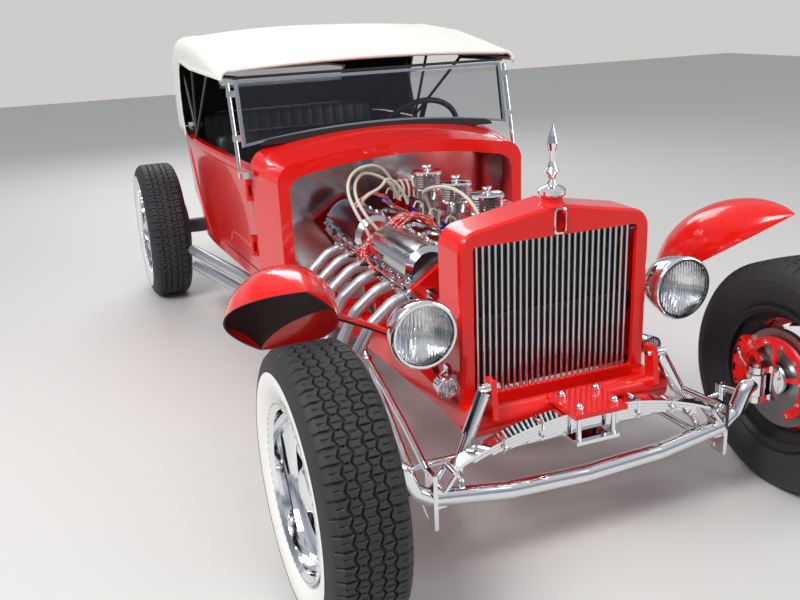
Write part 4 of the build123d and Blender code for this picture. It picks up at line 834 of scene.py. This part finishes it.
# %% Hoses and plug leads
HOSE_R = 5.5
HOSES = [  # points from the plenum to the far end
    [(-50, -612, 712), (-72, -618, 800), (-110, -640, 846), (-96, -750, 884), (-74, -860, 886),
     (-60, -960, 842), (-50, -992, 760), (-50, -992, 640)],
    [(-52, -300, 722), (-84, -310, 838), (-150, -326, 900), (-262, -396, 896), (-316, -478, 850),
     (-316, -568, 786), (-286, -594, 724), (-264, -588, 650)],
    [(-50, -330, 722), (-92, -334, 826), (-196, -344, 880), (-256, -404, 864), (-286, -474, 828),
     (-284, -560, 776), (-240, -578, 716), (-216, -572, 668)],
    [(-50, -400, 722), (-86, -402, 820), (-138, -404, 862), (-178, -452, 836), (-240, -478, 822),
     (-262, -462, 792), (-258, -456, 748)],
]
FITTING = [  # profile, sides and finish of the pieces along the first 40 mm of a hose
    ([(2, -6), (10, -6), (10, 10), (2, 10)], 6, 1),
    ([(2, 9), (8, 10), (8, 18), (2, 19)], 18, 2),
    ([(2, 18), (9.5, 18), (9.5, 30), (7, 35), (2, 35.5)], 6, 1),
]
LEAD_R, LEAD_BEND, LEAD_HINT = 3.5, 36, (0.2, 0.4, 1)
LEADS = [(-618, -750), (-609, -620), (-600, -500)]  # y at the valley and at the plug
BOOT = [(4, 0), (8, 1), (8, 26), (6, 34), (4, 40)]
skins = []
for points in HOSES:
    skins.append(tube(spaced(eased(points), 6), HOSE_R, 14))
    for start, onward in (points[:2], points[:-3:-1]):
        axis = np.subtract(onward, start)
        skins += [turned(profile, sides, start, axis, coat) for profile, sides, coat in FITTING]
make("braided_hoses", skins, [cream_braid, red_anodised, blue_anodised],
     stands_for=["engine_hoses"], mapped=True)
skins = []
for side in (1, -1):
    for y, plug_y in LEADS:
        corners = [(50, y, 690), (100, y, 752), (168, y, 774), (318, y, 670), (322, plug_y, 624)]
        path = spaced(rounded(corners, LEAD_BEND), 5) * np.array([side, 1, 1])
        skins += [tube(path, LEAD_R, 10, LEAD_HINT),
                  turned(BOOT, 14, (side * 288, plug_y, 622), (side, 0, 0), 1)]
make("plug_lead_set", skins, [red_lead, black_rubber], stands_for=["plug_leads"])

# %% [markdown]
# The radiator's grille is a row of polished half-round bars with the cross rails behind
# them, so that only upright lines show. A bar is a half-round section pushed upwards.

# %% Grille
GRILLE_HALF, GRILLE_LOW, GRILLE_HIGH, SHELL_Y, BARS, BAR_R = 253.5, 411, 833, -1317, 26, 4.6
bar_turn = np.linspace(np.pi, 2 * np.pi, 11)
section = np.stack([BAR_R * np.cos(bar_turn), BAR_R * np.sin(bar_turn)], axis=-1)
section = np.concatenate([section, [(BAR_R, 8), (-BAR_R, 8)]])
bar = pushed(section, 2, (GRILLE_LOW - 6, GRILLE_HIGH + 6))
skins = [skin(bar + [x, SHELL_Y + 19, 0])
         for x in -GRILLE_HALF + 2 * GRILLE_HALF / (BARS + 1) * (np.arange(BARS) + 1)]
for height in (GRILLE_LOW + 10, (GRILLE_LOW + GRILLE_HIGH) / 2, GRILLE_HIGH - 10):
    skins.append(box_skin((-GRILLE_HALF - 8, GRILLE_HALF + 8), (SHELL_Y + 27.2, SHELL_Y + 34),
                          (height - 6, height + 6), 1))
make("grille_bars", skins, [polished_alloy, black_iron], stands_for=["grille"])

# %% [markdown]
# The engine is what the eye goes to, so it gets the small parts that make it read as
# real: chromed end bands, dome nuts and stepped brackets on the covers. They are placed
# on the head's slope, by how far along it, across it and out from it they are.

# %% Cover trim
HEAD_TOP = np.array([(305, 640), (165, 735)])
COVERS = [(-1000, -626), (-544, -170)]
SLOPE_MIDDLE = HEAD_TOP.mean(axis=0)
DOWN_SLOPE = (HEAD_TOP[0] - HEAD_TOP[1]) / np.linalg.norm(HEAD_TOP[0] - HEAD_TOP[1])
OUT_OF_SLOPE = np.array([-DOWN_SLOPE[1], DOWN_SLOPE[0]])
DOME_NUT = [(7, 0), (7, 4), (5.5, 4.5), (5.5, 9), (4, 11.5), (0.5, 12.5)]
DOME_HALF, DOME_RISE, DOME_FOOT, HEAD_FACE, LOOP_ACROSS = 66, 40, 26, 8.2, (70, 80)


def on_slope(side, along, across, out):
    """Point at y = along, across the head's slope from its middle line, and out from it."""
    x, z = SLOPE_MIDDLE + DOWN_SLOPE * across + OUT_OF_SLOPE * out
    return np.array([side * x, along, z])


def slope_prism(side, y_range, section):
    """An (across, out) section on the head's slope, pushed along the car."""
    return skin(np.array([[on_slope(side, y, a, o) for a, o in section] for y in y_range]))


def slope_box(side, y_range, across, out):
    """Box whose sides follow the head's slope."""
    section = [(across[0], out[0]), (across[1], out[0]), (across[1], out[1]), (across[0], out[1])]
    return slope_prism(side, y_range, section)


def dome_band(side, y, wide, proud):
    """Half hoop over the cover: the cover's own arc, a little larger, pushed along Y."""
    half, rise = DOME_HALF + proud, DOME_RISE + proud
    size = (half**2 + rise**2) / (2 * rise)
    angle = np.arcsin(half / size)
    theta = -angle + 2 * angle * np.linspace(0, 1, 25)
    outer = np.stack([size * np.sin(theta), DOME_FOOT + rise - size + size * np.cos(theta)], axis=-1)
    outer = np.concatenate([[(-half, HEAD_FACE)], outer, [(half, HEAD_FACE)]])
    inner = outer * [(half - 3) / half, 1] - [0, 3]
    return slope_prism(side, (y, y + wide), np.concatenate([outer, inner[::-1]]))


skins = []
for side in (1, -1):
    slope_axis = (side * OUT_OF_SLOPE[0], 0, OUT_OF_SLOPE[1])
    for front, back in COVERS:
        skins += [dome_band(side, y, 9, 1.6) for y in (front + 34, back - 43)]
        for across in (-75, 75):
            skins += [turned(DOME_NUT, 8, on_slope(side, y, across, 8), slope_axis)
                      for y in np.linspace(front + 24, back - 24, 6)]
        for step, reach in enumerate((118, 84, 50)):
            skins.append(slope_box(side, (back - reach - 14, back - 20),
                                   (62 - 12 * step, 74 - 12 * step), (HEAD_FACE, 34 + 9 * step)))
        for start in (back - 112, back - 74):
            skins += [slope_box(side, (y, y + 5), LOOP_ACROSS, (20, 46)) for y in (start, start + 26)]
            skins += [slope_box(side, (start, start + 31), LOOP_ACROSS, (height, height + 5))
                      for height in (20, 41)]
make("cover_trim", skins, [chrome])

# %% [markdown]
# Every header pipe ends in a flange on the head's lower face, with a collar round the
# pipe and four hexagon nuts. A long rod on small brackets runs above them.

# %% Header flanges, rod and nuts
HEADER_Y = (-952, -817, -682, -560, -436, -312)
BRACKET_Y = (-975, -884, -749, -620, -498, -374, -295)
FLANGE_AXIS, FLANGE_UP = np.array([0.817, 0, -0.577]), np.array([0.577, 0, 0.817])
FLANGE_FACE = np.array([282.5, 0, 608.5]) + FLANGE_AXIS * 8
HEX_NUT = [(6.5, 0), (6.5, 7), (5.6, 8), (3.6, 8.2), (3.6, 13), (0.5, 13.5)]
COLLAR = [(19.2, 0), (25, 1), (25, 9), (22, 12), (19.2, 12.5)]
ROD_HINT = (0, 0.3, 1)
skins = []
for side in (1, -1):
    for y in HEADER_Y:
        place, axis = FLANGE_FACE * [side, 1, 1] + [0, y, 0], FLANGE_AXIS * [side, 1, 1]
        for offset in (-22, 22):
            for up in (-22, 22):
                shift = FLANGE_UP * [side * up, 1, up] + [0, offset, 0]
                skins.append(turned(HEX_NUT, 6, place + shift, axis))
        skins.append(turned(COLLAR, 28, place, axis, capped=False))
    rod = [(side * 316, -985, 641), (side * 316, -285, 641)]
    skins.append(tube(spaced(rod, 60), 4.5, 10, ROD_HINT))
    for y in BRACKET_Y:
        skins.append(box_skin(sorted((side * 300, side * 318)), (y - 4, y + 4), (634, 648)))
make("header_fixings", skins, [chrome])

# %% [markdown]
# Two fuel rails lie over the runners. Along each stand small fittings, red and blue in
# turn, with a short cream hose from every one back down to the plenum, and in the
# valley behind the air cleaners a row of taller fittings faces the driver.

# %% Fuel rails
RAIL_X, RAIL_Z, RAIL_PITCH, PLENUM_TOP = 98, 742, 134, 722
CUP = [(1, 0), (9, 0), (9, 9), (7, 11), (7, 19), (8.5, 20), (8.5, 27), (0.5, 28)]
skins, small_hoses = [], []
for side in (1, -1):
    rail = [(side * RAIL_X, -930, RAIL_Z), (side * RAIL_X, -245, RAIL_Z)]
    skins.append(tube(spaced(rail, 80), 7.5, 14, ROD_HINT))
    for number in range(6):
        y = -915 + RAIL_PITCH * number
        skins.append(turned(CUP, 6, (side * RAIL_X, y, RAIL_Z), (-side * 0.45, 0, 0.9), 1 + number % 2))
        start = np.array([side * (RAIL_X - 12), y, RAIL_Z + 24])
        points = [start, start + [-side * 13, 6, 22], start + [-side * 40, 10, 6],
                  (side * 45, y + 12, PLENUM_TOP)]
        small_hoses.append(tube(spaced(rounded(points, 11), 4), 3.6, 8, (0.1, 1, 0.2), 3))
    for y in (-880, -612, -344):
        skins.append(box_skin(sorted((side * 66, side * 98)), (y - 5, y + 5), (RAIL_Z - 5, RAIL_Z + 3)))
for number in range(7):
    x = -60 + 20 * number
    skins.append(turned(CUP, 6, (x, -262, PLENUM_TOP), (0, -0.1, 1), 1 + number % 2))
    stem = [(x, -262, 745), (x, -266, 786), (x * 1.1, -236, 812), (x * 1.2, -170, 790)]
    small_hoses.append(tube(spaced(rounded(stem, 22), 4), 4.2, 8, (1, 0.1, 0.1), 3))
make("fuel_rails", skins + small_hoses, [chrome, red_anodised, blue_anodised, cream_braid], mapped=True)

# %% [markdown]
# An air cleaner is a pleated element between two flat lids, held by a wing nut. The
# pleats are a wave in the element's radius round the axis, r = R + a cos(n t), which a
# turned profile alone can't give.

# %% Air cleaners
CARB_X, CARB_Y, CARB_Z, LID_R, ELEMENT_R, FOLDS = 18, (-867, -637, -397), 793.3, 54, 44, 36
LID = [(1, 0), (LID_R - 3, 0), (LID_R, 2), (LID_R, 9), (LID_R - 4, 13), (16, 16), (13, 19), (1, 20)]
BASE_LID = (np.array(LID) * [0.97, -0.7] + [0, 14])[::-1]
STEM = [(5.5, 0), (5.5, 8), (3, 9), (3, 14), (0.5, 15)]


def pleated(low, high):
    """Upright wall whose radius waves round the axis."""
    turn = 2 * np.pi * np.arange(FOLDS * 6) / (FOLDS * 6)
    radius = ELEMENT_R + 2.2 * np.cos(FOLDS * turn)
    ring = np.stack([radius * np.cos(turn), radius * np.sin(turn)], axis=-1)
    return pushed(ring, 2, (low, high))


skins = []
for y in CARB_Y:
    base = np.array([CARB_X, y, CARB_Z])
    skins += [skin(lathe(BASE_LID, 48) + base), skin(pleated(14, 60) + base, 1)]
    for height in (22, 30, 38, 46, 54):
        hoop = [(ELEMENT_R + reach, height + rise)
                for reach, rise in ((1, -1.2), (4, -1.2), (4, 1.2), (1, 1.2))]
        skins.append(skin(lathe(hoop, 40) + base, close_rows=True))
    skins += [skin(lathe(LID, 48) + base + [0, 0, 60]), skin(lathe(STEM, 12) + base + [0, 0, 79])]
    for side in (1, -1):
        wing = np.array([(0, 0, 0), (side * 6, 0, 3), (side * 12, 0, 8), (side * 15, 0, 9)], float)
        skins.append(tube(wing + base + [0, 0, 83], [2.5, 3.5, 4.5, 2], 8, (0, 1, 0)))
gauze = finish("grey_gauze", (0.30, 0.30, 0.31), 0.9, 0.4)
make("air_cleaner_set", skins, [chrome, gauze], stands_for=["air_cleaners"], crease=25)

# %% [markdown]
# Polished sheet lines the fire wall behind the engine. It is a flat panel shaped as the
# recess, with a row of rivets along the top, and it stands a millimetre off the wall.
# The long stay rods from the heads to the radiator shell are in the same cell, because
# they are as simple.

# %% Fire wall and stays
def arch_line(half, low, side_z, corner, shoulder_z, top_z, count=14):
    """Outline of the recess as (x, z): straight sides, round shoulders and an arched top."""
    share = np.linspace(0, np.pi / 2, count)
    corner_x = half - corner + corner * np.cos(share)
    corner_z = side_z + (shoulder_z - side_z) * np.sin(share)
    roof_x = np.linspace(half - corner, 0, count)[1:]
    roof_z = top_z - (top_z - shoulder_z) * (roof_x / (half - corner)) ** 2
    x = np.concatenate([[half], corner_x, roof_x])
    z = np.concatenate([[low], corner_z, roof_z])
    return np.concatenate([np.column_stack([x, z]), np.column_stack([-x[-2::-1], z[-2::-1]])])


SHEET_FRONT, SHEET_BACK = -65.6, -63.4
outline = arch_line(500, 388, 826, 64, 912, 950)
skins = [skin(pushed(outline, 1, (SHEET_FRONT, SHEET_BACK)))]
rivet_line = np.insert(arch_line(484, 470, 806, 60, 895, 934, 12), 1, SHEET_FRONT, axis=1)
skins += [turned(RIVET, 6, place, (0, -1, 0)) for place in spaced(rivet_line, 42)]
make("fire_wall_sheet", skins, [polished_alloy])

skins = []
for side in (1, -1):
    for z in (628, 612):
        stay = [(side * 250, -1016, z), (side * 262, -1120, z + 6), (side * 268, -1196, z + 8)]
        skins.append(tube(spaced(stay, 20), 5, 10))
    skins.append(box_skin(sorted((side * 236, side * 262)), (-1024, -1010), (602, 640)))
make("head_stays", skins, [chrome])

# %% [markdown]
# The plaque above the grille is blank: an oblong with round corners, whose front edge is
# drawn in a little, and a smaller red one let into it.

# %% Plaque
def rounded_plate(half_x, half_z, corner):
    """Outline with round corners as (x, z)."""
    turn = np.linspace(0, np.pi / 2, 7)
    quarter = np.column_stack([np.cos(turn), np.sin(turn)]) * corner + [half_x - corner, half_z - corner]
    top = np.concatenate([quarter, quarter[::-1] * [-1, 1]])
    return np.concatenate([top, top[::-1] * [1, -1]])


skins = []
for half_x, half_z, front, coat in ((19, 36, 5, 0), (15.5, 32.5, 5.6, 1)):
    edge = rounded_plate(half_x, half_z, half_x * 0.6)
    layers = [np.insert(edge * scale, 1, SHELL_Y + y, axis=1)
              for scale, y in ((1, 1), (1, 1.5 - front), (0.93, -front))]
    skins.append(skin(np.stack(layers) + [6, 0, 872], coat))
make("blank_plaque", skins, [chrome, red_anodised])

# %% [markdown]
# Beside the leads to the plugs, two bundled pairs a side run over the covers. They are
# the same circle-on-a-path surface with the same flecked cotton finish.

# %% Lead bundles
BUNDLES = [  # points for the left side: valley, ridge, outer edge, plug
    [(60, -700, 705), (104, -706, 762), (168, -712, 789), (226, -722, 757), (292, -740, 676),
     (306, -760, 640)],
    [(60, -690, 705), (104, -694, 770), (168, -700, 797), (226, -708, 765), (292, -712, 684),
     (306, -700, 640)],
    [(60, -300, 705), (104, -310, 764), (168, -318, 790), (228, -330, 757), (292, -350, 676),
     (306, -380, 640)],
    [(60, -292, 705), (104, -300, 770), (168, -308, 796), (228, -316, 764), (292, -300, 684),
     (306, -260, 640)],
]
PLUG_CAP = [(4, -4), (7.5, 0), (7.5, 18), (5, 26), (3.6, 30)]
skins = []
for side in (1, -1):
    for points in BUNDLES:
        path = spaced(rounded(points, 22), 5) * np.array([side, 1, 1])
        skins += [tube(path, LEAD_R, 10, LEAD_HINT),
                  turned(PLUG_CAP, 12, path[-1], path[-4] - path[-1], 1)]
make("lead_bundles", skins, [red_lead, black_rubber])

# %% [markdown]
# The front brakes are red: a caliper that reaches over the disc's edge, held by a broad
# C-shaped plate round the hub with bright bolts, and a thin bright line to it. Every
# block of it is bent round the wheel's axis: its four corners are a radius and a
# distance from the car's middle, carried from one turn to another.

# %% Brakes
BRAKE = [  # radii, turns, distance from the car's middle, finish
    ((100, 126), (-62, 158), (638, 650), 0),
    ((104, 164), (146, 206), (637, 656), 0),
    ((98, 160), (150, 202), (681, 699), 0),
    ((155, 166), (150, 202), (637, 699), 0),
    ((112, 156), (152, 162), (631, 638), 0),
    ((112, 156), (171, 181), (631, 638), 0),
    ((112, 156), (190, 200), (631, 638), 0),
    ((44, 104), (10, 22), (637, 644), 0),
    ((44, 104), (84, 96), (637, 644), 0),
    ((44, 104), (140, 152), (637, 644), 0),
    ((30, 46), (0, 360), (635, 645), 1),
]
BOLT_TURNS, BOLT_RING, PLATE_FACE = (-52, -20, 12, 44, 76, 108, 140), 113, 638
BRAKE_LINE = [(636, 128, 30), (612, 124, 52), (590, 92, 86), (560, 60, 70), (566, 34, 44)]
HUB = np.array([0, -AXLE_Y, TYRE_R])


def sector(radii, turns, x_range):
    """Block bent round the wheel's axis: from one radius to another, one turn to another.

    A turn is in degrees, 0 towards the front of the car and 90 upwards."""
    turn = np.radians(np.linspace(*turns, 25))[:, None]
    radius, x = np.array([radii[0], radii[1], radii[1], radii[0]]), np.repeat(x_range, 2)
    return np.stack([x + 0 * turn, -radius * np.cos(turn), radius * np.sin(turn)], axis=-1)


for name, side in (("left", 1), ("right", -1)):
    skins = []
    for radii, turns, x_range, coat in BRAKE:
        points, closed = (sector(radii, turns, x_range) + HUB) * [side, 1, 1], turns == (0, 360)
        skins.append(skin(points[:-1] if closed else points, coat, close_rows=closed))
    for turn in np.radians(BOLT_TURNS):
        place = np.array([PLATE_FACE, -BOLT_RING * np.cos(turn), BOLT_RING * np.sin(turn)]) + HUB
        skins.append(turned(HEX_NUT, 6, place * [side, 1, 1], (-side, 0, 0), 1))
    line = (np.array(BRAKE_LINE) + HUB) * [side, 1, 1]
    skins.append(tube(spaced(eased(line), 4), 3.6, 10, coat=1))
    make("brake_" + name, skins, [red_paint, chrome], "knuckle_" + name + "_body",
         stands_for=["caliper_" + name])

# %% [markdown]
# The leaf spring gets four bright clips, each a hoop of four rods round the pack with a
# dome nut in front. The pack's top is an arch, and it has fewer leaves further out, so
# each hoop's height follows from its distance from the middle.

# %% Spring clips
SPRING_HALF, SPRING_TOP, SPRING_DROP, LEAF = 398, 401.5, 83.5, 8.4
skins = []
for x in (-262, -150, 150, 262):
    out = abs(x) / SPRING_HALF
    top = SPRING_TOP - SPRING_DROP * out**2
    low = top - (int((1 - out) / 0.13) + 1) * LEAF - 1
    hoop = np.array([(x, -25.5, low - 3), (x, 25.5, low - 3), (x, 25.5, top + 3), (x, -25.5, top + 3)])
    hoop += [0, -AXLE_Y, 0]
    skins += [tube(np.array(ends), 3.6, 8, (0.9, 0.3, 0.2)) for ends in zip(hoop, np.roll(hoop, -1, 0))]
    skins.append(turned(DOME_NUT, 8, (x, -AXLE_Y - 25.5, low + 10), (0, -1, 0)))
make("spring_clips", skins, [chrome])

# %% [markdown]
# A raised crease runs down the tub's side from the belt to the sill behind the door. It
# is a round bead sunk into the side, so that only a crest shows.

# %% Body crease
BELT_Z, BODY_LOW, CREASE_SINK, CREASE_R = 855, 385, 6, 11
CREASE = [(1262, 826), (1117, 622), (986, 478), (870, 396)]


def side_x(y, z):
    """Half width of the tub's side behind the door: an arc in plan that leans in below the belt."""
    back, fore = np.clip((y - 1000) / 400, 0, None), np.clip((1000 - y) / 360, 0, None)
    return 580 - 24 * back**2 - 14 * fore**2 - 22 * (BELT_Z - z) / (BELT_Z - BODY_LOW)


skins = []
for side in (1, -1):
    path = np.array([(side * (side_x(y, z) - CREASE_SINK), y, z) for y, z in CREASE])
    path = spaced(rounded(path, 260), 12)
    path[:, 0] = side * (side_x(path[:, 1], path[:, 2]) - CREASE_SINK)
    from_end = np.minimum(np.arange(len(path)), np.arange(len(path))[::-1])
    taper = CREASE_R * np.clip(from_end / 6, 0.12, 1) ** 0.5
    skins.append(tube(path, taper, 16, (1, 0, 0)))
make("side_crease", skins, [red_paint])

# %% [markdown]
# Behind each fluted lens a silvered bowl and a small bulb show. The bowl is a turned
# paraboloid of one sheet, closed at its pole.

# %% Lamp bowls
LAMP = (405, -1341, 626)
BOWL = [(0.5, -60), (22, -54), (42, -42), (60, -27), (74, -12), (79.5, -7),
        (79.5, -8.5), (60, -29), (40, -44.5), (22, -56), (0.5, -62)]
BULB = [(0.5, -60), (7, -60), (7, -46), (11, -36), (10, -27), (5, -21.5), (0.5, -20)]
bulb_glass = finish("bulb_glass", (0.9, 0.88, 0.8), roughness=0.1)
skins = []
for side in (1, -1):
    place = (side * LAMP[0], *LAMP[1:])
    skins += [turned(BOWL, 48, place, (0, -1, 0), close_rows=True),
              turned(BULB, 16, place, (0, -1, 0), 1)]
make("lamp_bowls", skins, [chrome, bulb_glass])

# %% [markdown]
# The dashboard's bezels hold plain round dials with a white scale and a needle and no
# lettering. A long flat floor mat lies behind the fire wall and another in the rear.

# %% Dials and mats
DIAL_X, DIAL_Z, DIAL_AXIS = (190, 270, 350), 880, (0, 1, 0)
DIAL = [(0.5, 0), (26, 0), (26, 0.8), (0.5, 0.8)]
dial_face = finish("dial_face", (0.75, 0.74, 0.70), roughness=0.4)
skins = []
for x in DIAL_X:
    skins.append(turned(DIAL, 32, (x, 38.2, DIAL_Z), DIAL_AXIS))
    for turn in np.radians(np.arange(-120, 121, 30)):
        mark = [(x + radius * np.sin(turn), 39.4, DIAL_Z + radius * np.cos(turn)) for radius in (19, 24)]
        skins.append(tube(mark, 0.7, 6, DIAL_AXIS, 1))
    needle = [(x - 3, 39.8, DIAL_Z - 4), (x + 10, 39.8, DIAL_Z + 13)]
    skins.append(tube(needle, [1.2, 0.5], 6, DIAL_AXIS, 1))
make("dials", skins, [dial_face, black_iron])
skins = [box_skin((-470, 470), (60, 385), (468.6, 473)),
         box_skin((-440, 440), (925, 978), (590.6, 594))]
make("floor_mats", skins, [black_rubber])

# %% [markdown]
# The floor is the studio's and not a piece of the car, so it is staged. It is one large
# face at the height where the tyres stand.

# %% Floor
FLOOR_HALF = 14
floor_mesh = bpy.data.meshes.new("floor")
floor_mesh.from_pydata([(-FLOOR_HALF, -FLOOR_HALF, 0), (FLOOR_HALF, -FLOOR_HALF, 0),
                        (FLOOR_HALF, FLOOR_HALF, 0), (-FLOOR_HALF, FLOOR_HALF, 0)], [],
                       [(0, 1, 2, 3)])
floor = bpy.data.objects.new("floor", floor_mesh)
scene.collection.objects.link(floor)
floor.data.materials.append(finish("floor_paint", (0.62, 0.61, 0.59), roughness=0.6))
print("floor", 2 * FLOOR_HALF, "m wide")
